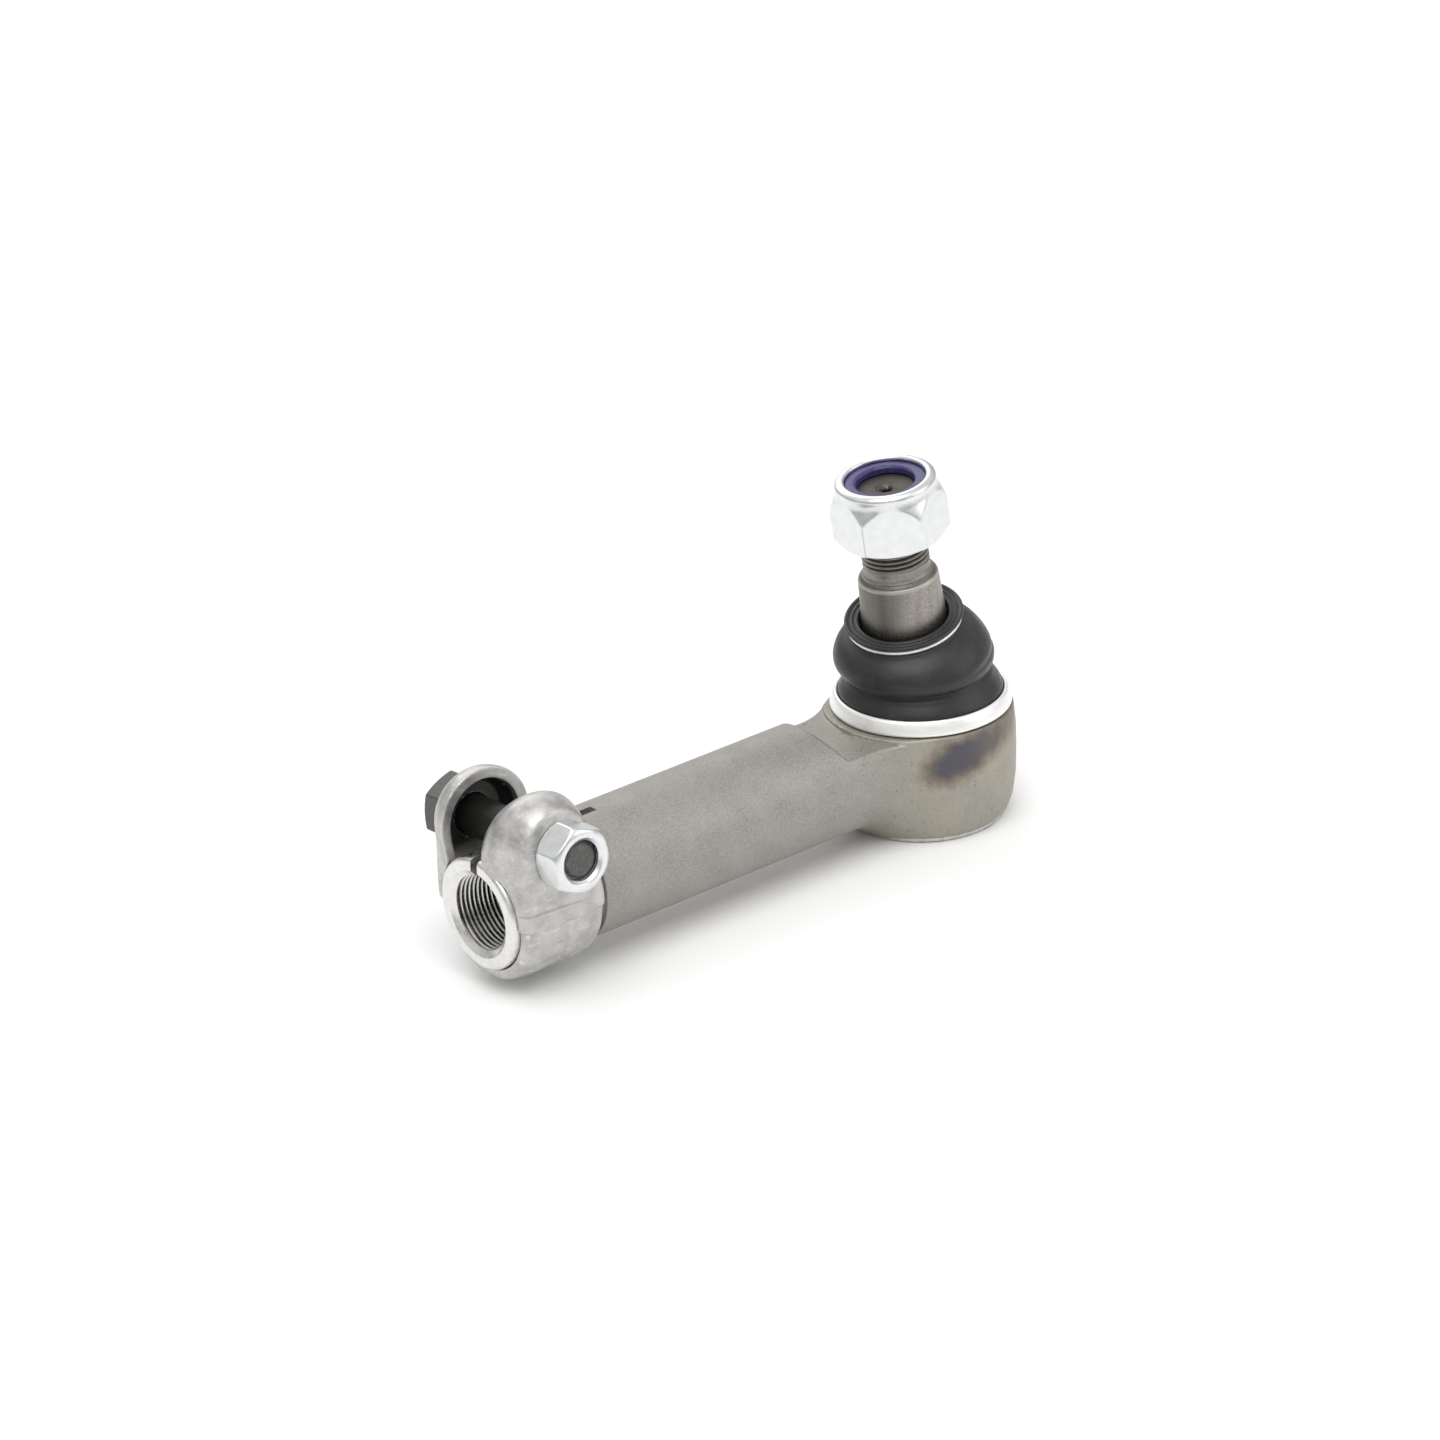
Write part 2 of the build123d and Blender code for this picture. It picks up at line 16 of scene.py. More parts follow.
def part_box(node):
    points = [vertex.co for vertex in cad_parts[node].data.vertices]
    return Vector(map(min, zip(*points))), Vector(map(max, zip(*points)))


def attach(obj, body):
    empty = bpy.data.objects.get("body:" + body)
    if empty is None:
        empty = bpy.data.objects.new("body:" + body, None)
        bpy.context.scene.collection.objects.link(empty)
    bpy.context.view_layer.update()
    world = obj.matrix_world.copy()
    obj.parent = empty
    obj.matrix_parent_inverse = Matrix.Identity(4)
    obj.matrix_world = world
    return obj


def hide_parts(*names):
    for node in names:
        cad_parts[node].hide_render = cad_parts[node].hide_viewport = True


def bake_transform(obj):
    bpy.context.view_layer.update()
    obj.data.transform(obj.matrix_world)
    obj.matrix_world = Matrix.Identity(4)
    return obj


MM = 0.001
TURN = 2 * math.pi
EDGE_WEAR_LIGHT_START, EDGE_WEAR_LIGHT_FULL = 0.512, 0.572  # pointiness where an edge starts to lighten, and where it is fully light; the lightening is partly wear and partly painted highlight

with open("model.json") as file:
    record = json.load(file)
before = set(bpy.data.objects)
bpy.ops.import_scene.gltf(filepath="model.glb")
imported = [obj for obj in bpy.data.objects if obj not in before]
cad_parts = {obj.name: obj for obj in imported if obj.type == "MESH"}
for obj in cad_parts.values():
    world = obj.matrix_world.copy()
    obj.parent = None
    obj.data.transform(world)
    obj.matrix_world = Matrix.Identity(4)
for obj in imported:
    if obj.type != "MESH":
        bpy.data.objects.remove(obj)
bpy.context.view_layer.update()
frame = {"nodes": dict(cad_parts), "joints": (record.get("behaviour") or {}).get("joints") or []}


def joint_axis(name):
    """Unit axis of one of the record's joints."""
    axis = np.array(next(j["axis"] for j in frame["joints"] if j["name"] == name), float)
    return axis / np.linalg.norm(axis)


def node_box(name):
    """Lowest and highest corner of a CAD node, in millimetres."""
    low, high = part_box(name)
    return np.array(low) / MM, np.array(high) / MM


# ---- driving dimensions, in millimetres ----
# _X, _Y, _Z: place on a row-frame axis; _R: radius; _H: height along a leaning axis
TUBE_DIR, HEAD_DIR = (1, 0, 0), (0, 0, 1)
HOUSING_LOW = node_box("housing")[0]
MOUTH_X = HOUSING_LOW[0]
TUBE_Z = 5.0
TUBE_R = 18.35
SEAT_R = 16.8            # turned seat that the clamp grips
SHOULDER_X = -134.4
SLOT_END_X = -123.5
SLOT_WIDTH = 3.0
GROOVE_R = 6.4           # cross groove for the clamp bolt
THREAD_PITCH = 1.5
THREAD_MAJOR_R = 12.0
THREAD_MINOR_R = 11.19
THREAD_START_X = MOUTH_X + 1.4
THREAD_END_X = MOUTH_X + 62
DRILL_END_X = MOUTH_X + 74
SEAM_X = -80.0           # where the turned tube takes over from the forged end

HEAD_MIDDLE_Z, HEAD_HALF = -0.7, 17.0
HEAD_TOP_Z = 16.3
HEAD_LEVEL_X = -32.0     # the head's top is level from here to the front
FLAT_Z = 15.3            # milled flat beside the head
FLAT_FOOT_X = -41.3
FLAT_WALL_R = 29.2
PLATE_LOW, PLATE_HIGH = node_box("closure_plate")
RIM_Z = HOUSING_LOW[2]

STUD_DIR = joint_axis("stud_spin")
BALL_R, BALL_FLAT_R, BALL_FLAT_H = 16.0, 11.6, -11.0
NECK_R = 8.6
CONE_FOOT_H, CONE_FOOT_R = 40.0, 12.85
CONE_TOP_H, CONE_TOP_R = 60.0, 11.85
STUD_END_H = 88.4
STUD_THREAD_H, STUD_THREAD_R = 64.4, 9.9
NUT_LOW_H = 72.4
NUT_BORE_R = 9.95
NUT_FLATS = 30.0
NUT_SPIN = 22.0          # degrees the lock nut is turned from its axes

COLLAR_DIR = np.array([-math.tan(math.radians(12.0)), -math.tan(math.radians(4.6)), 1.0])
COLLAR_DIR = COLLAR_DIR / np.linalg.norm(COLLAR_DIR)
COLLAR_H = 44.4
WIRE_RING_R, WIRE_R = 16.55, 0.55
BOOT_SEAM_H = 33.0       # where the boot's two pieces meet

CLAMP_SIDE = -joint_axis("clamp_nut_travel")
CLAMP_UP = np.cross([1.0, 0.0, 0.0], CLAMP_SIDE)
TUBE_CENTRE = np.array([0.0, 0.0, TUBE_Z])
BOLT_X, BOLT_H = -151.5, 20.5
BOLT_CENTRE = TUBE_CENTRE + [BOLT_X, 0, 0] + CLAMP_UP * BOLT_H
TUBE_ORIGIN = tuple(TUBE_CENTRE * MM)      # these two in metres, for the shaders
BOLT_ORIGIN = tuple(BOLT_CENTRE * MM)
CLAMP_FRONT_X, CLAMP_REAR_X = -164.5, -136.7
SHEET = 3.4
BAND_OUT_R = 20.55
BAND_IN_R = 17.15
EAR_FACE = 21.8          # from the clamp's middle plane to an ear's outer face
EAR_R = 15.3
EAR_HOLE_R = 6.5
BOLT_R = 5.9
BOLT_PITCH = 1.75
BOLT_FLATS = 18.0
CLAMP_NUT_BORE_R, CLAMP_NUT_GROOVE_R = 5.95, 6.5
NUT_FACE = EAR_FACE + 10.42


# ---- mesh helpers ----
def axes_of(direction):
    """Two unit vectors across a direction, and the direction."""
    direction = np.array(direction, float) / np.linalg.norm(direction)
    first = np.cross([0.0, 1.0, 0.0], direction)
    first /= np.linalg.norm(first)
    return first, np.cross(direction, first), direction


def add_object(name, data):
    added = bpy.data.objects.new(name, data)
    bpy.context.scene.collection.objects.link(added)
    return added


def make_object(name, parts, materials, sharp_degrees=32.0, merge=0.004):
    """One mesh object from parts of (vertices in mm, faces, material index)."""
    vertices, faces, indices, start = [], [], [], 0
    for points, polygons, index in parts:
        vertices.append(np.asarray(points, float) * MM)
        faces += [tuple(int(v) + start for v in polygon) for polygon in polygons]
        indices += [index] * len(polygons)
        start += len(points)
    mesh = bpy.data.meshes.new(name)
    mesh.from_pydata(np.concatenate(vertices).tolist(), [], faces)
    mesh.polygons.foreach_set("material_index", indices)
    for material in materials:
        mesh.materials.append(material)
    cleanup = bmesh.new()
    cleanup.from_mesh(mesh)
    bmesh.ops.remove_doubles(cleanup, verts=cleanup.verts, dist=merge * MM)
    bmesh.ops.dissolve_degenerate(cleanup, edges=cleanup.edges, dist=1e-7)
    bmesh.ops.recalc_face_normals(cleanup, faces=cleanup.faces)
    cleanup.to_mesh(mesh)
    cleanup.free()
    mesh.shade_smooth()
    mesh.set_sharp_from_angle(angle=math.radians(sharp_degrees))
    return add_object(name, mesh)


def place(piece, body, slot, *nodes):
    """Puts a finished piece on its body, in place of its CAD nodes."""
    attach(piece, body)
    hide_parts(*nodes)
    return piece


def subtract(piece, cutters, sharp_degrees=32.0):
    """Cuts other objects out of a piece and removes them."""
    for number, cutter in enumerate(cutters):
        cut = piece.modifiers.new(f"cut{number}", "BOOLEAN")
        cut.operation = "DIFFERENCE"
        cut.solver = "EXACT"
        cut.object = cutter
    bpy.context.view_layer.update()
    evaluated = piece.evaluated_get(bpy.context.evaluated_depsgraph_get())
    mesh = bpy.data.meshes.new_from_object(evaluated)
    piece.modifiers.clear()
    piece.data = mesh
    for cutter in cutters:
        bpy.data.objects.remove(cutter)
    mesh.shade_smooth()
    mesh.set_sharp_from_angle(angle=math.radians(sharp_degrees))
    return piece


def joined(name, pieces):
    """Joins pieces that share a list of materials into one object."""
    bpy.ops.object.select_all(action="DESELECT")
    for piece in pieces:
        piece.select_set(True)
    bpy.context.view_layer.objects.active = pieces[0]
    bpy.ops.object.join()
    pieces[0].name = name
    return pieces[0]


def rounded(points, steps=5):
    """Outline of (radius, height, corner radius) points with its corners rounded."""
    path = []
    for i, point in enumerate(points):
        here = np.array(point[:2], float)
        corner = point[2] if len(point) > 2 else 0
        if corner == 0 or i == 0 or i == len(points) - 1:
            path.append(here)
            continue
        before = np.array(points[i - 1][:2], float) - here
        after = np.array(points[i + 1][:2], float) - here
        reach = min(corner, np.linalg.norm(before) * 0.49, np.linalg.norm(after) * 0.49)
        first = here + before / np.linalg.norm(before) * reach
        last = here + after / np.linalg.norm(after) * reach
        for t in np.linspace(0, 1, steps):
            path.append((1 - t) ** 2 * first + 2 * t * (1 - t) * here + t**2 * last)
    return np.array(path)


def spline(points, steps=6):
    """Smooth path through points (Catmull-Rom)."""
    points = np.array(points, float)
    padded = np.vstack([2 * points[0] - points[1], points, 2 * points[-1] - points[-2]])
    path = []
    for a, b, c, d in zip(padded, padded[1:], padded[2:], padded[3:]):
        for t in np.arange(steps) / steps:
            square, cube = (2 * a - 5 * b + 4 * c - d) * t**2, (3 * b - a - 3 * c + d) * t**3
            path.append(0.5 * (2 * b + (c - a) * t + square + cube))
    path.append(points[-1])
    return np.array(path)


def circle(angle, first, second):
    """Unit vectors at angles round an axis."""
    return np.cos(angle)[:, None] * first + np.sin(angle)[:, None] * second


def row_faces(rows, width, closed=True):
    """Quads between consecutive rows of vertices; closed rows go all the way round."""
    faces = []
    for row in range(0, (rows - 1) * width, width):
        for j in range(width if closed else width - 1):
            k = (j + 1) % width
            faces.append((row + j, row + k, row + width + k, row + width + j))
    return faces


def lathe_part(path, direction, origin=(0, 0, 0), segments=192, material=0):
    """Surface of revolution of a (radius, height) path."""
    first, second, along = axes_of(direction)
    path = np.asarray(path, float)
    across = circle(np.arange(segments) * TURN / segments, first, second)
    points = path[:, None, :1] * across[None] + path[:, None, 1:2] * along + np.array(origin, float)
    return points.reshape(-1, 3), row_faces(len(path), segments), material


# share of the pitch and share of the depth, from one crest to the next
THREAD_PROFILE = [(0, 0), (0.06, 0), (0.25, 0.5), (0.44, 1), (0.5, 1.04), (0.56, 1), (0.75, 0.5)]
THREAD_PROFILE += [(0.94, 0)]
THREAD_RUN_OUT = 0.7     # length of the shallow ends, in pitches


def thread_part(
    low, high, pitch, crest, root, direction, origin=(0, 0, 0), segments=192, material=0
):
    """Helical thread whose rows follow the helix; it runs out to crest at both ends."""
    first, second, along = axes_of(direction)
    turns = int((high - low) / pitch) + 1
    angle = np.arange(segments + 1) * TURN / segments
    across = circle(angle, first, second)
    rows = []
    for turn in range(-1, turns + 1):
        for share, depth in THREAD_PROFILE:
            height = low + (turn + share + angle / TURN) * pitch
            ends = np.minimum(height - low, high - height) / (THREAD_RUN_OUT * pitch)
            radius = crest + (root - crest) * depth * np.clip(ends, 0, 1)
            rise = np.clip(height, low, high)[:, None] * along
            rows.append(radius[:, None] * across + rise + np.array(origin, float))
    return np.concatenate(rows), row_faces(len(rows), segments + 1, closed=False), material


# ---- solids described by distance fields ----
def round_max(a, b, radius):
    """Intersection of two fields with a rounded convex edge."""
    outside = np.hypot(np.maximum(a + radius, 0), np.maximum(b + radius, 0))
    return np.minimum(np.maximum(a, b), -radius) + outside


def blend_min(a, b, width):
    """Union of two fields with a soft fillet."""
    h = np.maximum(width - np.abs(a - b), 0) / width
    return np.minimum(a, b) - h**2 * width / 4


HEX_EDGE, HEX_CHAMFER = 0.45, 0.35   # softness between two flats, and between flat and chamfer
HEX_INSIDE = 1.2                     # points this far inside the flats stay round


def hex_part(path, flats, spin, axes, origin=(0, 0, 0), segments=360):
    """A turned (radius, height) outline whose outside is also cut to a hexagon."""
    angle = np.arange(segments) * TURN / segments
    faces_at = np.radians(spin) + np.arange(6) * TURN / 6 + TURN / 12
    turned = np.cos(angle[:, None] - faces_at[None])
    reach = np.sort(np.where(turned > 0.3, flats / 2 / np.maximum(turned, 0.3), 1e3), axis=1)
    hexed = blend_min(reach[:, 0], reach[:, 1], HEX_EDGE)
    path = np.asarray(path, float)
    radius = blend_min(path[:, :1], hexed[None], HEX_CHAMFER)
    radius = np.where(path[:, :1] < flats / 2 - HEX_INSIDE, path[:, :1], radius)
    first, second, along = (np.array(a, float) for a in axes)
    across = circle(angle, first, second)
    points = radius[..., None] * across[None] + path[:, None, 1:2] * along + np.array(origin, float)
    return points.reshape(-1, 3), row_faces(len(path), segments), 0


def refined(path, step):
    """The same outline with extra points, so that no side is longer than step."""
    path = np.asarray(path, float)
    fine = [path[0]]
    for a, b in zip(path, path[1:]):
        count = max(1, int(np.ceil(np.linalg.norm(b - a) / step)))
        fine += [a + (b - a) * i / count for i in range(1, count + 1)]
    return np.array(fine)


def soft_step(x, low, high):
    """0 below low, 1 above high, smooth between."""
    t = np.clip((x - low) / (high - low), 0, 1)
    return t * t * (3 - 2 * t)


def bell(x, centre, width):
    """1 at the centre, falling off smoothly over about the width."""
    return np.exp(-(((x - centre) / width) ** 2))


def surface_net(field, low, high, step):
    """Quad mesh of a field's zero surface: one vertex per crossed cell, moved onto the surface."""
    axes = [np.arange(a, b + step, step) for a, b in zip(low, high)]
    grid = np.stack(np.meshgrid(*axes, indexing="ij"), -1)
    value = field(grid)
    inside = value < 0
    cells = tuple(n - 1 for n in inside.shape)
    total = np.zeros(cells + (3,))
    count = np.zeros(cells)
    for axis in range(3):
        across = [a for a in range(3) if a != axis]
        for shift in ((0, 0), (0, 1), (1, 0), (1, 1)):
            start = [slice(0, n) for n in cells]
            for a, s in zip(across, shift):
                start[a] = slice(s, s + cells[a])
            end = list(start)
            end[axis] = slice(1, cells[axis] + 1)
            v0, v1 = value[tuple(start)], value[tuple(end)]
            crossed = (v0 < 0) != (v1 < 0)
            share = np.where(crossed, v0 / np.where(crossed, v0 - v1, 1), 0)
            point = grid[tuple(start)].copy()
            point[..., axis] += share * step
            total += point * crossed[..., None]
            count += crossed
    active = count > 0
    index = np.full(cells, -1)
    index[active] = np.arange(active.sum())
    points = total[active] / count[active][:, None]
    faces = []
    for axis in range(3):
        b, c = [(1, 2), (2, 0), (0, 1)][axis]
        inner = [slice(0, n) for n in cells]
        inner[b] = slice(1, cells[b])
        inner[c] = slice(1, cells[c])
        end = list(inner)
        end[axis] = slice(1, cells[axis] + 1)
        here, there = inside[tuple(inner)], inside[tuple(end)]
        crossed = np.argwhere(here != there)
        flip = here[here != there]
        offset = np.zeros(3, int)
        offset[b], offset[c] = 1, 1
        corner = crossed + offset
        quad = []
        for sb, sc in ((-1, -1), (0, -1), (0, 0), (-1, 0)):
            cell = corner.copy()
            cell[:, b] += sb
            cell[:, c] += sc
            quad.append(index[cell[:, 0], cell[:, 1], cell[:, 2]])
        quad = np.stack(quad, 1)
        quad[~flip] = quad[~flip][:, ::-1]
        faces.append(quad)
    probe = 0.02
    for _ in range(4):
        here = field(points)
        ahead = [field(points + probe * e) - field(points - probe * e) for e in np.eye(3)]
        slope = np.stack([difference / (2 * probe) for difference in ahead], -1)
        move = here[:, None] * slope / np.maximum((slope**2).sum(-1), 0.05)[:, None]
        points = points - np.clip(move, -step / 3, step / 3)
    return points, np.concatenate(faces).tolist(), 0


# ---- shader helper ----
class Shader:
    """A node material built in steps on the piece's own coordinates, which are in metres."""

    def __init__(self, name):
        self.material = bpy.data.materials.new(name)
        self.material.use_nodes = True
        self.tree = self.material.node_tree
        self.surface = self.tree.nodes["Principled BSDF"]
        self.place = self.tree.nodes.new("ShaderNodeTexCoord").outputs["Object"]

    def node(self, kind, inputs=None, **settings):
        made = self.tree.nodes.new(kind)
        for key, value in settings.items():
            setattr(made, key, value)
        for key, value in (inputs or {}).items():
            self.give(made.inputs[key], value)
        return made

    def give(self, socket, value):
        if isinstance(value, bpy.types.NodeSocket):
            self.tree.links.new(value, socket)
        else:
            socket.default_value = value

    def set(self, **values):
        for key, value in values.items():
            self.give(self.surface.inputs[key.replace("_", " ")], value)

    def noise(self, size_mm, detail=4.0, rough=0.55, stretch=(1, 1, 1), twist=0.0):
        """Noise whose blotches are about size_mm across."""
        mapping = self.node("ShaderNodeMapping", {"Vector": self.place, "Scale": stretch})
        inputs = {"Vector": mapping.outputs["Vector"], "Scale": 1 / (size_mm * MM)}
        inputs.update({"Detail": detail, "Roughness": rough, "Distortion": twist})
        return self.node("ShaderNodeTexNoise", inputs).outputs["Fac"]

    def cells(self, size_mm):
        """Distance from the middles of cells about size_mm across."""
        inputs = {"Vector": self.place, "Scale": 1 / (size_mm * MM)}
        return self.node("ShaderNodeTexVoronoi", inputs).outputs["Distance"]

    def math(self, operation, a, b=0.0):
        return self.node("ShaderNodeMath", {0: a, 1: b}, operation=operation).outputs["Value"]

    def times(self, a, b):
        return self.math("MULTIPLY", a, b)

    def span(self, value, low, high, new_low=0.0, new_high=1.0):
        """Value eased from new_low at low to new_high at high."""
        inputs = {"Value": value, "From Min": low, "From Max": high}
        inputs.update({"To Min": new_low, "To Max": new_high})
        made = self.node("ShaderNodeMapRange", inputs, interpolation_type="SMOOTHSTEP")
        return made.outputs["Result"]

    def mix(self, share, a, b):
        made = self.node("ShaderNodeMix", data_type="RGBA")
        self.give(made.inputs[0], share)
        for socket, value in ((made.inputs[6], a), (made.inputs[7], b)):
            self.give(socket, value if isinstance(value, bpy.types.NodeSocket) else (*value, 1.0))
        return made.outputs[2]

    def coat(self, base, mask, strength, colour):
        """The base colour with another one laid over it where the mask is above 0."""
        return self.mix(self.times(mask, strength), base, colour)

    def coordinate(self, axis):
        return self.node("ShaderNodeSeparateXYZ", {"Vector": self.place}).outputs[axis]

    def vector(self, operation, *inputs):
        made = self.node("ShaderNodeVectorMath", dict(enumerate(inputs)), operation=operation)
        return made.outputs["Value" if operation in ("DOT_PRODUCT", "LENGTH") else "Vector"]

    def along(self, direction, origin=(0, 0, 0)):
        """Distance in metres along a direction from a point."""
        offset = self.vector("SUBTRACT", self.place, origin)
        return self.vector("DOT_PRODUCT", offset, tuple(direction))

    def radius(self, direction, origin=(0, 0, 0)):
        """Distance in metres from an axis."""
        offset = self.vector("SUBTRACT", self.place, origin)
        return self.vector("LENGTH", self.vector("CROSS_PRODUCT", offset, tuple(direction)))

    def edge_wear_and_highlight(self):
        """1 on convex edges and 0 on flat and hollow places, from the mesh's curvature; used to
        lighten edges as wear and as painted highlight.
        """
        pointiness = self.node("ShaderNodeNewGeometry").outputs["Pointiness"]
        return self.span(pointiness, EDGE_WEAR_LIGHT_START, EDGE_WEAR_LIGHT_FULL)

    def bump(self, height, depth_mm, strength=1.0, base=None):
        inputs = {"Height": height, "Distance": depth_mm * MM, "Strength": strength}
        if base is not None:
            inputs["Normal"] = base
        return self.node("ShaderNodeBump", inputs).outputs["Normal"]


# ---- materials ----
def forged_steel():
    """Blasted forging: turned along the tube, mottled round the head, heat-tinted at the ring."""
    s = Shader("forged_steel")
    x, z = s.coordinate("X"), s.coordinate("Z")
    head = s.span(x, -0.052, -0.012)
    grain = s.noise(0.55, detail=3, rough=0.65)
    blotch = s.noise(9, detail=5, rough=0.6)
    speck = s.cells(1.5)
    base = s.mix(s.span(grain, 0.3, 0.7), (0.27, 0.258, 0.236), (0.40, 0.382, 0.355))
    base = s.coat(base, s.span(blotch, 0.35, 0.75), 0.3, (0.46, 0.445, 0.42))
    # dark pits left by the forging scale, denser round the head
    pits = s.times(s.span(speck, 0.34, 0.12), s.span(s.noise(3.2, detail=4), 0.48, 0.66))
    scaled = s.times(s.span(z, 0.0135, 0.0150), s.span(x, -0.044, -0.036))
    pits = s.times(pits, s.math("MAXIMUM", s.span(head, 0, 1, 0.22, 0.8), scaled))
    base = s.mix(pits, base, (0.12, 0.115, 0.09))
    mottle = s.span(s.noise(1.5, detail=5, rough=0.75), 0.5, 0.68)
    mottle = s.times(mottle, s.span(s.math("MAXIMUM", head, scaled), 0, 1, 0.08, 0.34))
    base = s.mix(mottle, base, (0.17, 0.16, 0.125))
    # olive-brown tone and streaks of the head
    tone = s.times(head, s.span(s.noise(14, detail=3, stretch=(1, 1, 0.6)), 0.3, 0.7, 0.25, 0.7))
    base = s.mix(tone, base, (0.40, 0.38, 0.30))
    # fine marks across the turned tube
    marks = s.noise(1.3, detail=6, rough=0.7, stretch=(3.2, 0.25, 0.25))
    base = s.coat(base, s.span(marks, 0.55, 0.75), 0.22, (0.30, 0.285, 0.26))
    # heat tint on the head's near side: straw rim round a blue core
    from_core = s.math("ADD", x, 0.0105)
    left_side = s.times(from_core, -1 / 0.0085)
    across = s.math("MAXIMUM", left_side, s.times(from_core, 1 / 0.029))
    height = s.math("SUBTRACT", s.math("SUBTRACT", z, 0.0085), s.times(from_core, 0.24))
    height = s.math("DIVIDE", height, 0.0066)
    spread = s.math("SQRT", s.math("ADD", s.times(across, across), s.times(height, height)))
    spread = s.math("ADD", spread, s.span(s.noise(4.5, detail=4), 0.2, 0.8, -0.2, 0.2))
    front = s.span(s.coordinate("Y"), -0.012, -0.018)
    right = s.span(x, -0.008, 0.004)
    straw = s.times(s.span(spread, 1.45, 0.75), front)
    blue = s.times(s.span(spread, 1.05, 0.45), front)
    base = s.coat(base, straw, s.span(right, 0, 1, 0.75, 0.5), (0.16, 0.118, 0.075))
    tint = s.mix(right, (0.088, 0.088, 0.118), (0.135, 0.125, 0.118))
    base = s.coat(base, blue, 0.85, tint)
    s.set(Base_Color=base, Metallic=0.72)
    s.set(Roughness=s.span(grain, 0.25, 0.75, 0.46, 0.62))
    rough = s.bump(s.noise(0.5, detail=3, rough=0.7), 0.05, 0.55)
    rough = s.bump(s.times(pits, -1.0), 0.12, 0.6, rough)
    s.set(Normal=s.bump(s.noise(6, detail=2), 0.25, 0.25, rough))
    return s.material


def machined_steel(
    name, light, dark, axis, origin=(0, 0, 0), roughness=(0.24, 0.42), groove_shade_radius=None
):
    """Freshly cut steel, finely turned round an axis; outside the given radius it is darkened as
    painted shade in the thread's grooves.
    """
    s = Shader(name)
    turned = s.times(s.radius(axis, origin), 1 / (0.35 * MM))
    along = s.times(s.along(axis, origin), 1 / (0.45 * MM))
    rings = s.math("SINE", s.times(s.math("ADD", turned, along), TURN))
    soft = s.noise(2.5, detail=5, rough=0.65)
    base = s.mix(s.span(soft, 0.3, 0.7), dark, light)
    base = s.coat(base, s.span(s.noise(0.6, detail=3), 0.5, 0.75), 0.15, dark)
    if groove_shade_radius:
        # painted shade: the thread's grooves outside the radius are darkened nearly to black
        groove_shade = s.span(s.radius(axis, origin), groove_shade_radius, groove_shade_radius + 0.5 * MM)
        base = s.coat(base, groove_shade, 0.85, (0.05, 0.048, 0.045))
    s.set(Base_Color=base, Metallic=1.0)
    s.set(Roughness=s.span(soft, 0.3, 0.7, *roughness))
    s.set(Normal=s.bump(rings, 0.006, 0.6, s.bump(soft, 0.03, 0.3)))
    return s.material


def stud_steel():
    """Phosphated stud: grainy taper with soft dark streaks, dull threads, a glossier foot; painted
    shade at the foot, in the groove above the taper and in the thread's roots, and a painted
    highlight round the taper's top edge.
    """
    s = Shader("stud_steel")
    h = s.along(STUD_DIR)
    grain = s.noise(0.5, detail=4, rough=0.7)
    streak = s.noise(2.6, detail=3, stretch=(1, 1, 0.06))
    base = s.mix(s.span(grain, 0.3, 0.7), (0.24, 0.22, 0.195), (0.42, 0.40, 0.365))
    base = s.coat(base, s.span(streak, 0.5, 0.75), 0.35, (0.12, 0.11, 0.098))
    base = s.coat(base, s.span(s.cells(0.7), 0.3, 0.1), 0.45, (0.13, 0.12, 0.10))
    # a darker band down the taper's side towards -X
    cone_side_band = s.span(s.along((-0.94, -0.15, 0.0), tuple(STUD_DIR * 0.055)), 0.0062, 0.0102)
    cone_side_band = s.times(cone_side_band, s.span(h, 0.0607, 0.0598))
    base = s.coat(base, cone_side_band, 0.7, (0.12, 0.112, 0.098))
    # painted shade: a dark line in the groove above the taper's top edge
    groove = s.times(s.span(h, 0.0600, 0.0606), s.span(h, 0.0616, 0.0610))
    base = s.coat(base, groove, 0.6, (0.06, 0.055, 0.048))
    # painted highlight: a bright ring round the taper's top edge
    shoulder_highlight = s.times(s.span(h, 0.0590, 0.0596), s.span(h, 0.0604, 0.0600))
    base = s.coat(base, shoulder_highlight, 0.6, (0.55, 0.53, 0.49))
    # painted shade on the taper's foot just above the boot; the same mask makes the foot glossier
    shaded_foot = s.span(h, 0.0500, 0.0465)
    base = s.coat(base, shaded_foot, 0.7, (0.075, 0.07, 0.062))
    thread = s.span(h, 0.0603, 0.0612)
    base = s.coat(base, thread, 0.35, (0.17, 0.158, 0.14))
    # painted shade: the thread's roots darkened nearly to black
    thread_root_shade = s.times(thread, s.span(s.radius(STUD_DIR), 0.0098, 0.0092))
    thread_root_shade = s.times(thread_root_shade, s.span(h, 0.0640, 0.0644))
    base = s.coat(base, thread_root_shade, 0.75, (0.035, 0.032, 0.028))
    # worn edges and painted highlight: convex edges lightened
    base = s.coat(base, s.edge_wear_and_highlight(), 0.5, (0.60, 0.575, 0.53))
    s.set(Base_Color=base, Metallic=0.85)
    s.set(Roughness=s.math("SUBTRACT", s.span(grain, 0.3, 0.7, 0.34, 0.52), s.times(shaded_foot, 0.12)))
    turned = s.math("SINE", s.times(s.radius(STUD_DIR), TURN / (0.55 * MM)))
    s.set(Normal=s.bump(turned, 0.035, 0.6, s.bump(grain, 0.05, 0.55)))
    return s.material


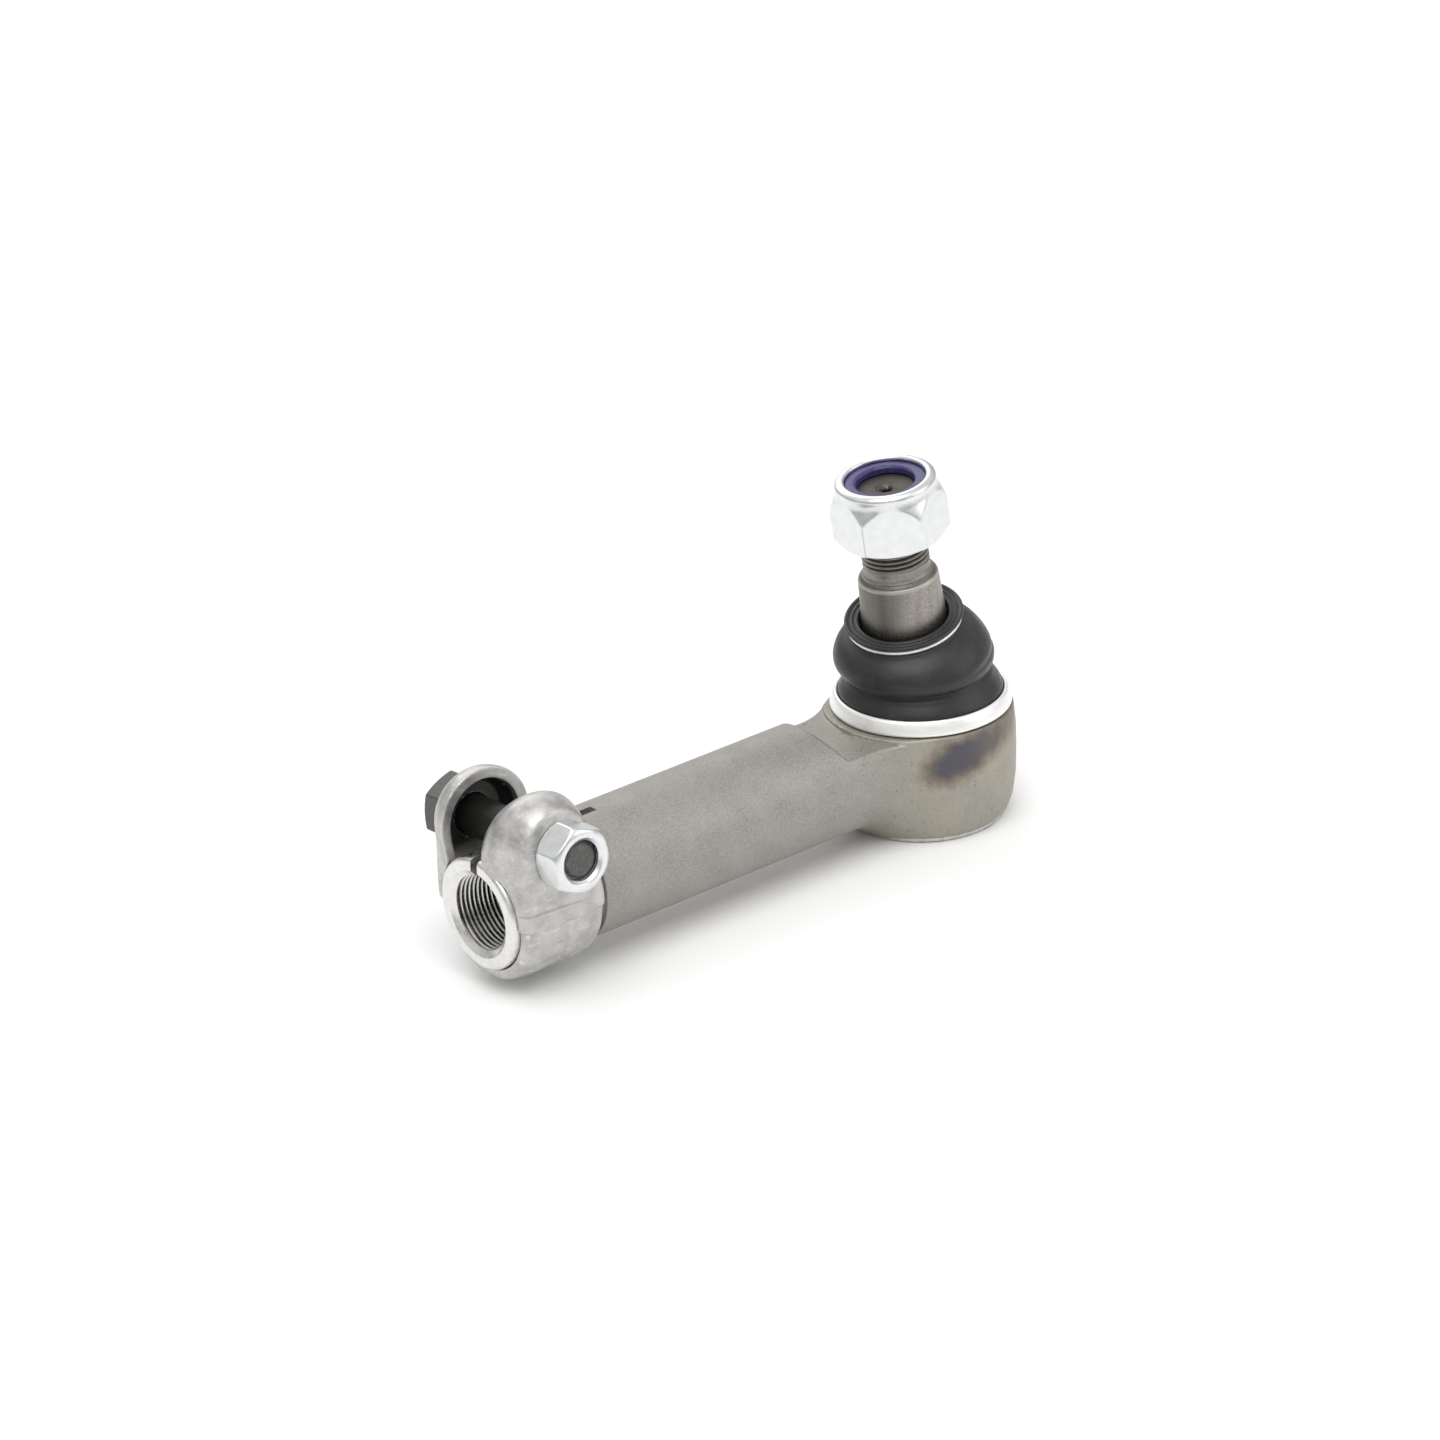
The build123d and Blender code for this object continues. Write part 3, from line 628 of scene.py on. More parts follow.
def zinc_plate():
    """Bright zinc: nearly white, with faint cloudiness and tiny handling marks."""
    s = Shader("zinc_plate")
    cloud = s.noise(3.5, detail=4)
    fine = s.noise(0.35, detail=3, rough=0.7)
    scratch = s.noise(1.0, detail=6, rough=0.8, stretch=(0.3, 0.3, 3.0))
    base = s.mix(s.span(cloud, 0.3, 0.7), (0.72, 0.73, 0.735), (0.79, 0.80, 0.80))
    base = s.coat(base, s.span(scratch, 0.68, 0.82), 0.2, (0.6, 0.61, 0.62))
    s.set(Base_Color=base, Metallic=1.0)
    s.set(Roughness=s.span(cloud, 0.3, 0.7, 0.27, 0.36))
    s.set(Normal=s.bump(s.noise(3.0, detail=1), 0.02, 0.3, s.bump(fine, 0.003, 0.4)))
    return s.material


def pressed_zinc():
    """Dull plated sheet: neutral grey, cloudy, with shallow press marks."""
    s = Shader("pressed_zinc")
    grain = s.noise(0.4, detail=4, rough=0.7)
    cloud = s.noise(5.0, detail=5, rough=0.55)
    drawn = s.noise(1.6, detail=4, stretch=(0.35, 1, 1.6), twist=0.4)
    base = s.mix(s.span(cloud, 0.3, 0.7), (0.42, 0.413, 0.40), (0.60, 0.59, 0.575))
    base = s.coat(base, s.span(drawn, 0.52, 0.72), 0.5, (0.74, 0.733, 0.715))
    base = s.coat(base, s.span(grain, 0.55, 0.75), 0.5, (0.25, 0.244, 0.235))
    # painted shade: near black inside the cups, above the tube
    side = s.math("ABSOLUTE", s.along(CLAMP_SIDE, TUBE_ORIGIN))
    bolt = s.radius(CLAMP_SIDE, BOLT_ORIGIN)
    above = s.span(s.along(CLAMP_UP, TUBE_ORIGIN), 0.009, 0.014)
    inner = s.times(s.span(bolt, 0.0121, 0.0117), s.span(side, 0.01870, 0.01845))
    base = s.coat(base, s.times(inner, above), 0.93, (0.035, 0.034, 0.033))
    # painted shade in the press line along the near side
    slope = s.times(s.math("ADD", s.coordinate("X"), 0.162), 0.062)
    press_line_shade = s.math("ADD", s.along(CLAMP_UP, TUBE_ORIGIN), s.math("SUBTRACT", slope, 0.0041))
    press_line_shade = s.span(s.math("ABSOLUTE", press_line_shade), 0.0006, 0.0001)
    near = s.span(s.along(CLAMP_SIDE), -0.017, -0.019)
    press_line_shade = s.times(s.times(press_line_shade, near), s.span(s.noise(4), 0.35, 0.5))
    press_line_shade = s.times(press_line_shade, s.span(s.coordinate("X"), -0.139, -0.150))
    base = s.coat(base, press_line_shade, 0.3, (0.13, 0.125, 0.12))
    # worn edges and painted highlight: convex edges lightened
    base = s.coat(base, s.edge_wear_and_highlight(), 0.5, (0.80, 0.795, 0.78))
    s.set(Base_Color=base, Metallic=0.8)
    s.set(Roughness=s.span(cloud, 0.3, 0.7, 0.36, 0.52))
    normal = s.bump(grain, 0.03, 0.5)
    normal = s.bump(drawn, 0.10, 0.45, normal)
    s.set(Normal=s.bump(s.noise(7, detail=2), 0.35, 0.35, normal))
    return s.material


def dark_bolt():
    """Phosphated, oiled bolt, with painted shade making the shank near black inside the clamp."""
    s = Shader("dark_bolt")
    grain = s.noise(0.45, detail=4, rough=0.7)
    base = s.mix(s.span(grain, 0.3, 0.7), (0.07, 0.069, 0.066), (0.135, 0.133, 0.127))
    # worn edges and painted highlight: convex edges lightened
    base = s.coat(base, s.edge_wear_and_highlight(), 0.55, (0.36, 0.355, 0.34))
    base = s.coat(base, s.span(s.noise(2.5), 0.55, 0.75), 0.4, (0.22, 0.215, 0.20))
    # painted shade: the shank between the clamp's ears is near black
    side = s.math("ABSOLUTE", s.along(CLAMP_SIDE, TUBE_ORIGIN))
    base = s.coat(base, s.span(side, 0.0205, 0.0185), 0.9, (0.022, 0.021, 0.02))
    s.set(Base_Color=base, Metallic=0.65)
    s.set(Roughness=s.span(grain, 0.3, 0.7, 0.36, 0.52))
    s.set(Normal=s.bump(grain, 0.03, 0.5))
    return s.material


def black_rubber():
    """Moulded rubber: near black, soft sheen, faint bloom and dust."""
    s = Shader("black_rubber")
    fine = s.noise(0.25, detail=3, rough=0.7)
    bloom = s.noise(4.5, detail=5, rough=0.65, twist=0.6)
    streak = s.noise(3.0, detail=5, rough=0.7, stretch=(0.5, 0.5, 2.2))
    base = s.mix(s.span(bloom, 0.45, 0.8), (0.012, 0.012, 0.012), (0.026, 0.026, 0.025))
    base = s.coat(base, s.span(streak, 0.6, 0.8), 0.5, (0.05, 0.049, 0.046))
    s.set(Base_Color=base, Metallic=0.0)
    s.set(Roughness=s.span(bloom, 0.3, 0.7, 0.34, 0.5))
    s.set(Specular_IOR_Level=0.5, Sheen_Weight=0.05, Sheen_Roughness=0.4)
    s.set(Normal=s.bump(s.noise(1.8, detail=3), 0.05, 0.35, s.bump(fine, 0.012, 0.5)))
    return s.material


def bright_ring():
    """Bright retaining ring with brushed marks round it."""
    s = Shader("bright_ring")
    brushed = s.noise(3.0, detail=6, rough=0.7, stretch=(0.5, 0.5, 7.0))
    cloud = s.noise(6.0, detail=4)
    base = s.mix(s.span(brushed, 0.35, 0.7), (0.90, 0.905, 0.88), (0.96, 0.96, 0.94))
    base = s.coat(base, s.span(brushed, 0.62, 0.76), 0.5, (0.50, 0.50, 0.485))
    base = s.coat(base, s.span(cloud, 0.5, 0.8), 0.3, (0.66, 0.665, 0.65))
    s.set(Base_Color=base, Metallic=0.6)
    s.set(Roughness=s.span(brushed, 0.3, 0.7, 0.3, 0.45))
    s.set(Normal=s.bump(brushed, 0.03, 0.4))
    return s.material


def violet_nylon():
    s = Shader("violet_nylon")
    soft = s.noise(1.5, detail=4)
    base = s.mix(s.span(soft, 0.3, 0.7), (0.028, 0.022, 0.105), (0.05, 0.04, 0.16))
    s.set(Base_Color=base, Roughness=s.span(soft, 0.3, 0.7, 0.26, 0.4))
    s.set(Subsurface_Weight=0.08, Subsurface_Scale=0.001)
    s.set(Normal=s.bump(s.noise(0.5, detail=3), 0.02, 0.4))
    return s.material


def bearing_polymer():
    s = Shader("bearing_polymer")
    soft = s.noise(1.2, detail=4)
    s.set(Base_Color=s.mix(s.span(soft, 0.3, 0.7), (0.70, 0.68, 0.61), (0.80, 0.78, 0.71)))
    s.set(Roughness=s.span(soft, 0.3, 0.7, 0.38, 0.5), Normal=s.bump(soft, 0.03, 0.4))
    return s.material


FORGED = forged_steel()
ROUND_TUBE = TUBE_DIR, TUBE_ORIGIN
GROOVE_SHADE_R = 0.01135         # metres: painted shade darkens the thread's grooves outside this radius
MACHINED = machined_steel("machined_face", (0.80, 0.79, 0.77), (0.70, 0.69, 0.665), *ROUND_TUBE)
THREAD = machined_steel(
    "cut_thread", (0.74, 0.73, 0.70), (0.62, 0.61, 0.585), *ROUND_TUBE, (0.22, 0.3), GROOVE_SHADE_R
)
RIM = machined_steel("machined_rim", (0.74, 0.735, 0.70), (0.56, 0.55, 0.52), HEAD_DIR)
PLATE = machined_steel("turned_steel", (0.60, 0.59, 0.56), (0.42, 0.41, 0.39), HEAD_DIR)
SPRING = machined_steel("spring_steel", (0.36, 0.37, 0.39), (0.22, 0.23, 0.25), HEAD_DIR)
STUD = stud_steel()
ZINC = zinc_plate()
PRESSED = pressed_zinc()
BOLT = dark_bolt()
RUBBER = black_rubber()
RING = bright_ring()
NYLON = violet_nylon()
POLYMER = bearing_polymer()


# ---- housing ----
HEAD_PROFILE_Z = [-18.6, -17.2, -15.6, -12.5, -6.0, 2.0, 9.0, 16.3]
HEAD_PROFILE_R = [23.9, 24.7, 25.6, 26.7, 27.6, 27.9, 27.9, 27.3]


def forging_field(p):
    """Forged head, neck and tube, with the milled flat and the hollow for the joint."""
    x, y, z = p[..., 0], p[..., 1], p[..., 2]
    tube = np.hypot(y, z - TUBE_Z) - TUBE_R
    tube = np.maximum(tube, x - 2)
    from_axis = np.hypot(x, y)
    head = from_axis - np.interp(z, HEAD_PROFILE_Z, HEAD_PROFILE_R)
    head = round_max(head, np.abs(z - HEAD_MIDDLE_Z) - HEAD_HALF, 0.8)
    body = blend_min(tube, head, 10.0)
    # milled flat with its sloping foot, then the head's level top
    ramp = -((x - FLAT_FOOT_X) * 0.81 + (z - FLAT_Z) * 0.586)
    recess = np.maximum(np.maximum(FLAT_Z - z, ramp), FLAT_WALL_R - from_axis)
    body = round_max(body, -recess, 0.35)
    level = np.maximum(z - HEAD_TOP_Z, HEAD_LEVEL_X - x)
    body = np.where(x > HEAD_LEVEL_X, round_max(body, level, 0.35), body)
    # bearing cavity, stud opening, recess for the closure plate
    cavity = np.maximum(from_axis - 19.5, np.abs(z + 5.6) - 13.4)
    cavity = np.minimum(cavity, np.maximum(from_axis - 15.3 - (z - 7.8) * 0.4, 7.0 - z))
    cavity = np.minimum(cavity, np.maximum(from_axis - 21.4, z + 14.9))
    return np.maximum(body, -cavity)


def box_cutter(low, high):
    """A plain box between two corners, used only to cut."""
    corners = list(itertools.product(*zip(low, high)))
    faces = [(0, 1, 3, 2), (4, 6, 7, 5), (0, 4, 5, 1), (2, 3, 7, 6), (0, 2, 6, 4), (1, 5, 7, 3)]
    return make_object("cutter", [(np.array(corners, float), faces, 1)], [])


def make_housing():
    forged = surface_net(forging_field, (SEAM_X - 0.2, -31, -19.5), (30, 31, 24.5), 0.55)
    points = forged[0]
    # the cut end of the forged mesh is moved onto the turned tube's first ring
    edge = points[:, 0] < SEAM_X + 0.36
    points[edge, 0] = SEAM_X
    span = np.hypot(points[edge, 1], points[edge, 2] - TUBE_Z)
    points[edge, 1] *= TUBE_R / span
    points[edge, 2] = TUBE_Z + (points[edge, 2] - TUBE_Z) * TUBE_R / span

    out = [
        (0.0, SEAM_X), (TUBE_R, SEAM_X), (TUBE_R, -110), (TUBE_R, -120), (TUBE_R, -130),
        (TUBE_R, SHOULDER_X, 0.5), (SEAT_R, SHOULDER_X),
    ]
    seat = [(SEAT_R, SHOULDER_X), (SEAT_R, -145), (SEAT_R, -155), (SEAT_R, MOUTH_X + 1.2, 0.5)]
    face = [
        (SEAT_R, MOUTH_X + 1.2), (SEAT_R - 0.25, MOUTH_X + 0.55, 0.3),
        (SEAT_R - 1.0, MOUTH_X, 0.35), (THREAD_MAJOR_R + 1.1, MOUTH_X, 0.25),
        (THREAD_MAJOR_R + 0.1, MOUTH_X + 0.9), (THREAD_MINOR_R, THREAD_START_X),
    ]
    drill = [(THREAD_MINOR_R, THREAD_END_X), (THREAD_MINOR_R, DRILL_END_X), (0.0, DRILL_END_X + 6)]
    thread = THREAD_START_X, THREAD_END_X, THREAD_PITCH, THREAD_MINOR_R, THREAD_MAJOR_R
    place_in_tube = TUBE_DIR, TUBE_CENTRE, 256
    parts = [
        lathe_part(rounded(out), *place_in_tube, 0),
        lathe_part(rounded(seat), *place_in_tube, 1),
        lathe_part(rounded(face), *place_in_tube, 1),
        thread_part(*thread, *place_in_tube, 2),
        lathe_part(drill, *place_in_tube, 2),
    ]
    front = make_object("housing_front", parts, [FORGED, MACHINED, THREAD])
    slot_low = (MOUTH_X - 5, -SLOT_WIDTH / 2, TUBE_Z)
    slot = box_cutter(slot_low, (SLOT_END_X, SLOT_WIDTH / 2, TUBE_Z + TUBE_R + 5))
    groove_path = [(0.0, -TUBE_R), (GROOVE_R, -TUBE_R), (GROOVE_R, TUBE_R), (0.0, TUBE_R)]
    groove = make_object("groove", [lathe_part(groove_path, CLAMP_SIDE, BOLT_CENTRE, 96, 1)], [])
    subtract(front, [slot, groove])
    lip = [
        (24.2, -16.4), (24.75, -17.3, 0.2), (24.1, RIM_Z, 0.5), (20.6, RIM_Z, 0.5),
        (19.9, RIM_Z + 0.6, 0.3), (19.9, PLATE_LOW[2] - 0.05), (20.9, PLATE_LOW[2] - 0.05),
        (21.2, PLATE_HIGH[2] + 0.1),
    ]
    rim = lathe_part(rounded(lip), HEAD_DIR, segments=224, material=3)
    rear = make_object("housing_rear", [forged, rim], [FORGED, MACHINED, THREAD, RIM], 40)
    place(joined("housing_forging", [rear, front]), "housing", "forged_steel", "housing")


make_housing()


# ---- clamp ----
# outline of the two pressed cups: distance across, arch radius and arch centre height
NEAR_CUP = [
    (-21.8, 9.8, 20.9), (-20.9, 10.8, 21.2), (-19, 11.9, 21.6), (-16, 13.0, 21.8),
    (-13, 14.1, 21.3), (-10, 15.6, 19.2), (-7, 15.7, 17.6), (-4, 14.5, 16.9), (0, 13.9, 16.4),
]
FAR_CUP = [
    (10, 15.5, 20.3), (13.5, 15.5, 20.5), (16, 14.8, 20.9), (18, 13.7, 21.1),
    (20, 12.2, 21.0), (21.8, 10.2, 20.7),
]
CUPS = np.vstack([spline(NEAR_CUP, 6), spline(FAR_CUP, 6)]).T
NEAR_RIM_S, FAR_RIM_S = -4.0, 12.4   # the cups' inner rims, across


def clamp_field(q):
    """Pressed strap in clamp axes: x along the tube, s across, t up from the tube's axis."""
    x, s, t = q[..., 0], q[..., 1], q[..., 2]
    middle = (CLAMP_FRONT_X + CLAMP_REAR_X) / 2
    half = (CLAMP_REAR_X - CLAMP_FRONT_X) / 2
    along = np.abs(x - middle) - half
    around = np.hypot(s, t)
    # two domed cups whose sides run down into a round band under the tube
    across, arch, centre = CUPS
    radius = np.interp(s, across, arch)
    slope = (np.interp(s + 0.4, across, arch) - np.interp(s - 0.4, across, arch)) / 0.8
    middle_t = np.interp(s, across, centre)
    rise = soft_step(t, 2.0, middle_t)
    side = np.abs(x - middle - (BOLT_X - middle) * rise) - (half + (radius - half) * rise)
    cup = np.where(t > middle_t, np.hypot(x - BOLT_X, t - middle_t) - radius, side)
    cup = cup / np.sqrt(1 + (slope * rise) ** 2)
    lean = EAR_FACE - 1.3 * (1 - soft_step(t, 0, 15))
    slab = round_max(cup, np.abs(s) - lean, 1.6)
    band = round_max(around - BAND_OUT_R, along, 2.6)
    # raised pad under the tube, with two shallow lines, and the press line above it
    pad = 0.5 * soft_step(x, -161.2, -159.4) * soft_step(-x, 140.4, 142.6)
    pad = pad - 0.3 * bell(x, -150.0, 0.9) - 0.25 * bell(x, -145.4, 0.7)
    crease_t = 3.9 - 0.062 * (x + 162)
    below = soft_step(-t, -crease_t - 0.4, -crease_t + 1.2)
    band = band - pad * below
    outer = blend_min(np.maximum(slab, -t), band, 2.5)
    pressed = bell(t, crease_t + 0.2, 0.5) * soft_step(-s, 4, 10)
    pressed = pressed * soft_step(-x, 138, 148) * soft_step(x, -164, -159)
    outer = outer + 0.3 * pressed
    inner = np.maximum(slab + SHEET, np.abs(s) - (EAR_FACE - SHEET))
    inner = np.minimum(np.maximum(inner, -t), around - BAND_IN_R)
    shell = round_max(outer, -inner, 0.45)
    # the cups stay apart
    gap = np.maximum(np.maximum(s - FAR_RIM_S, NEAR_RIM_S - s), 7.0 - t)
    return round_max(shell, -gap, 0.4)


def make_clamp():
    low = (BOLT_X - 17.5, -EAR_FACE - 1.5, -BAND_OUT_R - 1.8)
    high = (BOLT_X + 17.5, EAR_FACE + 1.5, BOLT_H + EAR_R + 1.5)
    points, faces, material = surface_net(clamp_field, low, high, 0.45)
    points = points @ np.array([TUBE_DIR, CLAMP_SIDE, CLAMP_UP]) + TUBE_CENTRE
    clamp = make_object("clamp_pressing", [(points, faces, material)], [PRESSED], 42)
    hole_path = [(0.0, -30), (EAR_HOLE_R, -30), (EAR_HOLE_R, 30), (0.0, 30)]
    hole = make_object("hole", [lathe_part(hole_path, CLAMP_SIDE, BOLT_CENTRE, 96)], [])
    subtract(clamp, [hole], 42)
    place(clamp, "housing", "pressed_zinc", "clamp")


make_clamp()


# ---- clamp bolt and nut ----
BOLT_AXES = (np.array([-1.0, 0.0, 0.0]), np.cross(CLAMP_SIDE, [-1.0, 0.0, 0.0]), CLAMP_SIDE)
HEAD_SPIN, CLAMP_NUT_SPIN = 35.0, 20.0
HEAD_HEIGHT = 7.5


def make_clamp_bolt():
    top = EAR_FACE + HEAD_HEIGHT
    outline = [
        (0, EAR_FACE - 0.05), (10.0, EAR_FACE - 0.05, 0.1), (11.5, EAR_FACE + 0.4),
        (11.5, top - 1.6), (8.7, top, 0.3), (6.9, top, 0.2), (6.5, top - 0.35, 0.2),
        (0, top - 0.35),
    ]
    head = hex_part(refined(rounded(outline), 0.22), BOLT_FLATS, HEAD_SPIN, BOLT_AXES, BOLT_CENTRE)
    end = -NUT_FACE + 1.2
    shank = [(BOLT_R, EAR_FACE + 0.2), (BOLT_R, 10), (BOLT_R, 2)]
    tip = [(BOLT_R, end + 1.4), (BOLT_R - 1.1, end + 0.3, 0.3), (BOLT_R - 1.4, end, 0.2)]
    tip += [(2.0, end), (0.0, end)]
    parts = [
        head,
        lathe_part(shank, CLAMP_SIDE, BOLT_CENTRE, 96),
        thread_part(end + 1.4, 2, BOLT_PITCH, BOLT_R, BOLT_R - 0.95, CLAMP_SIDE, BOLT_CENTRE, 96),
        lathe_part(rounded(tip), CLAMP_SIDE, BOLT_CENTRE, 96),
    ]
    place(make_object("clamp_bolt_dark", parts, [BOLT]), "clamp_bolt", "dark_bolt", "clamp_bolt")


def make_clamp_nut():
    low, high = -NUT_FACE, -EAR_FACE - 0.02
    outline = [
        (6.6, high), (8.4, high, 0.2), (9.3, high - 0.8, 0.6), (10.6, high - 2.6, 0.8),
        (10.6, low + 2.2, 0.8), (9.3, low + 0.5, 0.6), (8.2, low, 0.4), (6.9, low, 0.3),
        (CLAMP_NUT_BORE_R, low + 1.0),
    ]
    body = refined(rounded(outline), 0.2)
    thread = low + 1.0, high - 0.6, BOLT_PITCH, CLAMP_NUT_BORE_R, CLAMP_NUT_GROOVE_R
    mouth = [(CLAMP_NUT_BORE_R, high - 0.6), (6.6, high)]
    parts = [
        hex_part(body, BOLT_FLATS, CLAMP_NUT_SPIN, BOLT_AXES, BOLT_CENTRE),
        thread_part(*thread, CLAMP_SIDE, BOLT_CENTRE, 120),
        lathe_part(mouth, CLAMP_SIDE, BOLT_CENTRE, 120),
    ]
    nut = make_object("clamp_nut_bright", parts, [ZINC], 40)
    place(nut, "clamp_nut", "zinc_plate", "clamp_nut")


make_clamp_bolt()
make_clamp_nut()


# ---- ball stud ----
def make_stud():
    ball = [(0.0, BALL_FLAT_H), (BALL_FLAT_R, BALL_FLAT_H)]
    for angle in np.radians(np.arange(-42, 56, 6)):
        ball.append((BALL_R * math.cos(angle), BALL_R * math.sin(angle)))
    neck = [
        ball[-1], (NECK_R, BALL_R, 1.5), (NECK_R, 35.8, 1.2),
        (CONE_FOOT_R - 1.2, CONE_FOOT_H - 1.2, 0.5), (CONE_FOOT_R, CONE_FOOT_H + 0.4, 0.4),
        (CONE_TOP_R + 0.5, 50), (CONE_TOP_R + 0.02, CONE_TOP_H - 0.3, 0.5),
        (10.75, CONE_TOP_H + 1.25, 0.35), (10.1, CONE_TOP_H + 1.6, 0.4), (9.7, 62.6, 0.8),
        (9.75, 63.6, 0.6), (STUD_THREAD_R, STUD_THREAD_H),
    ]
    end = [
        (STUD_THREAD_R, STUD_END_H - 1.6), (8.9, STUD_END_H - 0.25, 0.4),
        (8.2, STUD_END_H, 0.3), (3.3, STUD_END_H, 0.2), (2.7, STUD_END_H - 0.35, 0.2),
        (2.1, STUD_END_H - 0.5, 0.2), (1.5, STUD_END_H - 1.4), (1.5, STUD_END_H - 4),
        (0.0, STUD_END_H - 5),
    ]
    thread = STUD_THREAD_H, STUD_END_H - 1.6, THREAD_PITCH, STUD_THREAD_R, STUD_THREAD_R - 0.85
    parts = [
        lathe_part(ball, STUD_DIR),
        lathe_part(rounded(neck), STUD_DIR),
        thread_part(*thread, STUD_DIR),
        lathe_part(rounded(end), STUD_DIR),
    ]
    place(make_object("ball_stud_turned", parts, [STUD]), "stud", "stud_steel", "ball_stud")


make_stud()


# ---- lock nut and its insert ----
NUT_THREAD_TOP = 13.2    # above the nut's underside, as are the outline's heights
LOCK_NUT_OUTLINE = [
    (11.4, 0.0), (13.6, 0.0, 0.3), (15.0, 0.45, 0.6), (17.6, 2.1, 0.5), (17.6, 9.4, 1.6),
    (16.9, 11.8, 1.2), (15.95, 13.9, 1.2), (15.05, 15.7, 0.8), (14.75, 17.3, 0.35),
    (15.0, 18.0, 0.4), (14.7, 19.0, 0.7), (13.6, 19.7, 0.7), (12.4, 19.7, 0.5),
    (11.95, 19.2, 0.3), (11.95, 18.5, 0.1), (12.7, 18.3, 0.1), (12.7, 14.5, 0.1),
    (9.95, 14.4, 0.1), (NUT_BORE_R, NUT_THREAD_TOP),
]


def make_lock_nut():
    outline = [(point[0], NUT_LOW_H + point[1], *point[2:]) for point in LOCK_NUT_OUTLINE]
    body = hex_part(refined(rounded(outline), 0.2), NUT_FLATS, NUT_SPIN, axes_of(STUD_DIR))
    low, high = NUT_LOW_H + 1.45, NUT_LOW_H + NUT_THREAD_TOP
    parts = [body, thread_part(low, high, THREAD_PITCH, NUT_BORE_R, 10.5, STUD_DIR)]
    parts.append(lathe_part([(NUT_BORE_R, low), (11.4, NUT_LOW_H)], STUD_DIR))
    place(make_object("lock_nut_bright", parts, [ZINC], 40), "lock_nut", "zinc_plate", "lock_nut")
    ring = [
        (9.9, 87.0), (12.6, 87.0, 0.2), (12.6, 90.4, 0.2), (11.6, 90.78, 0.2),
        (9.2, 90.78, 0.5), (8.5, 90.2, 0.4), (8.5, 88.6),
    ]
    insert = make_object("nylon_ring", [lathe_part(rounded(ring), STUD_DIR)], [NYLON])
    place(insert, "nut_travel", "violet_nylon", "nylon_insert")


make_lock_nut()


# ---- boot and rings ----
BOOT_OUTLINE = [
    (23.2, 17.0), (24.4, 18.5), (24.45, 20.6), (24.5, 21.3), (24.2, 22.2), (23.4, 23.6),
    (22.5, 25.0), (21.8, 26.2), (21.2, 27.0), (20.9, 27.7), (21.4, 28.4), (22.7, 29.5),
    (23.4, 31.2), (23.6, BOOT_SEAM_H), (23.3, 35.0), (22.5, 37.0), (21.1, 39.2), (19.3, 41.0),
    (17.5, 42.2), (16.5, 42.85), (16.1, 43.6), (16.0, 44.5), (16.3, 45.2), (17.2, 45.5),
    (17.6, 45.8), (17.65, 46.3), (17.4, 46.65), (16.9, 46.7), (16.4, 46.45), (16.1, 46.3),
    (15.8, 46.5), (15.3, 46.6), (14.9, 46.3), (14.6, 46.25), (14.2, 46.5), (13.7, 46.5),
    (13.35, 46.0), (13.25, 44.0), (13.6, 42.0),
]


def boot_frame(height):
    """Centre and normal of the boot's ring at a height; it leans more and more as it rises."""
    share = float(soft_step(height, 20.0, COLLAR_H))
    upright = (1 - share) * np.array(HEAD_DIR)
    centre_line = upright + share * STUD_DIR
    centre_line /= np.linalg.norm(centre_line)
    normal = upright + share * COLLAR_DIR
    normal /= np.linalg.norm(normal)
    return centre_line * min(height, COLLAR_H) + normal * max(height - COLLAR_H, 0), normal


def boot_ring(radius, height, segments):
    """One ring of the boot with its soft folds."""
    centre, normal = boot_frame(height)
    first, second, _ = axes_of(normal)
    angle = np.arange(segments) * TURN / segments
    # soft uneven folds round the bulge
    bulge = bell(height, 33.5, 4.5)
    fold = 0.16 * np.sin(3 * angle + 0.5) + 0.10 * np.sin(5 * angle + height * 0.35)
    crease_at = 31.4 + 1.9 * np.cos(angle - math.radians(-35))
    pinch = 0.5 * bell(height, crease_at, 0.8) * bell((angle + math.pi) % TURN - math.pi, -0.6, 0.8)
    reach = radius + bulge * fold - pinch
    return centre + reach[:, None] * circle(angle, first, second)


def make_boot():
    path = spline(BOOT_OUTLINE, 5)
    segments = 176
    seam = int(np.argmin(np.abs(path[:, 1] - BOOT_SEAM_H) + np.where(path[:, 0] > 23, 0, 9)))
    tuck = 0.01
    lower_path = np.vstack([path[: seam + 1], path[seam + 1] - [tuck, 0]])
    upper_path = np.vstack([path[seam - 1] - [tuck, 0], path[seam:]])
    pieces = []
    for name, outline in (("boot_lower_fold", lower_path), ("boot_upper_fold", upper_path)):
        rings = [boot_ring(r, h, segments) for r, h in outline]
        part = (np.concatenate(rings), row_faces(len(outline), segments), 0)
        pieces.append(make_object(name, [part], [RUBBER], 60, 0.0005))
    lower, upper = pieces
    # centre and normal of the seam's ring; both pieces have their placement baked into their
    # vertices
    centre, normal = boot_frame(path[seam][1])
    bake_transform(lower)
    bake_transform(upper)
    for piece in pieces:
        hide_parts("dust_boot")


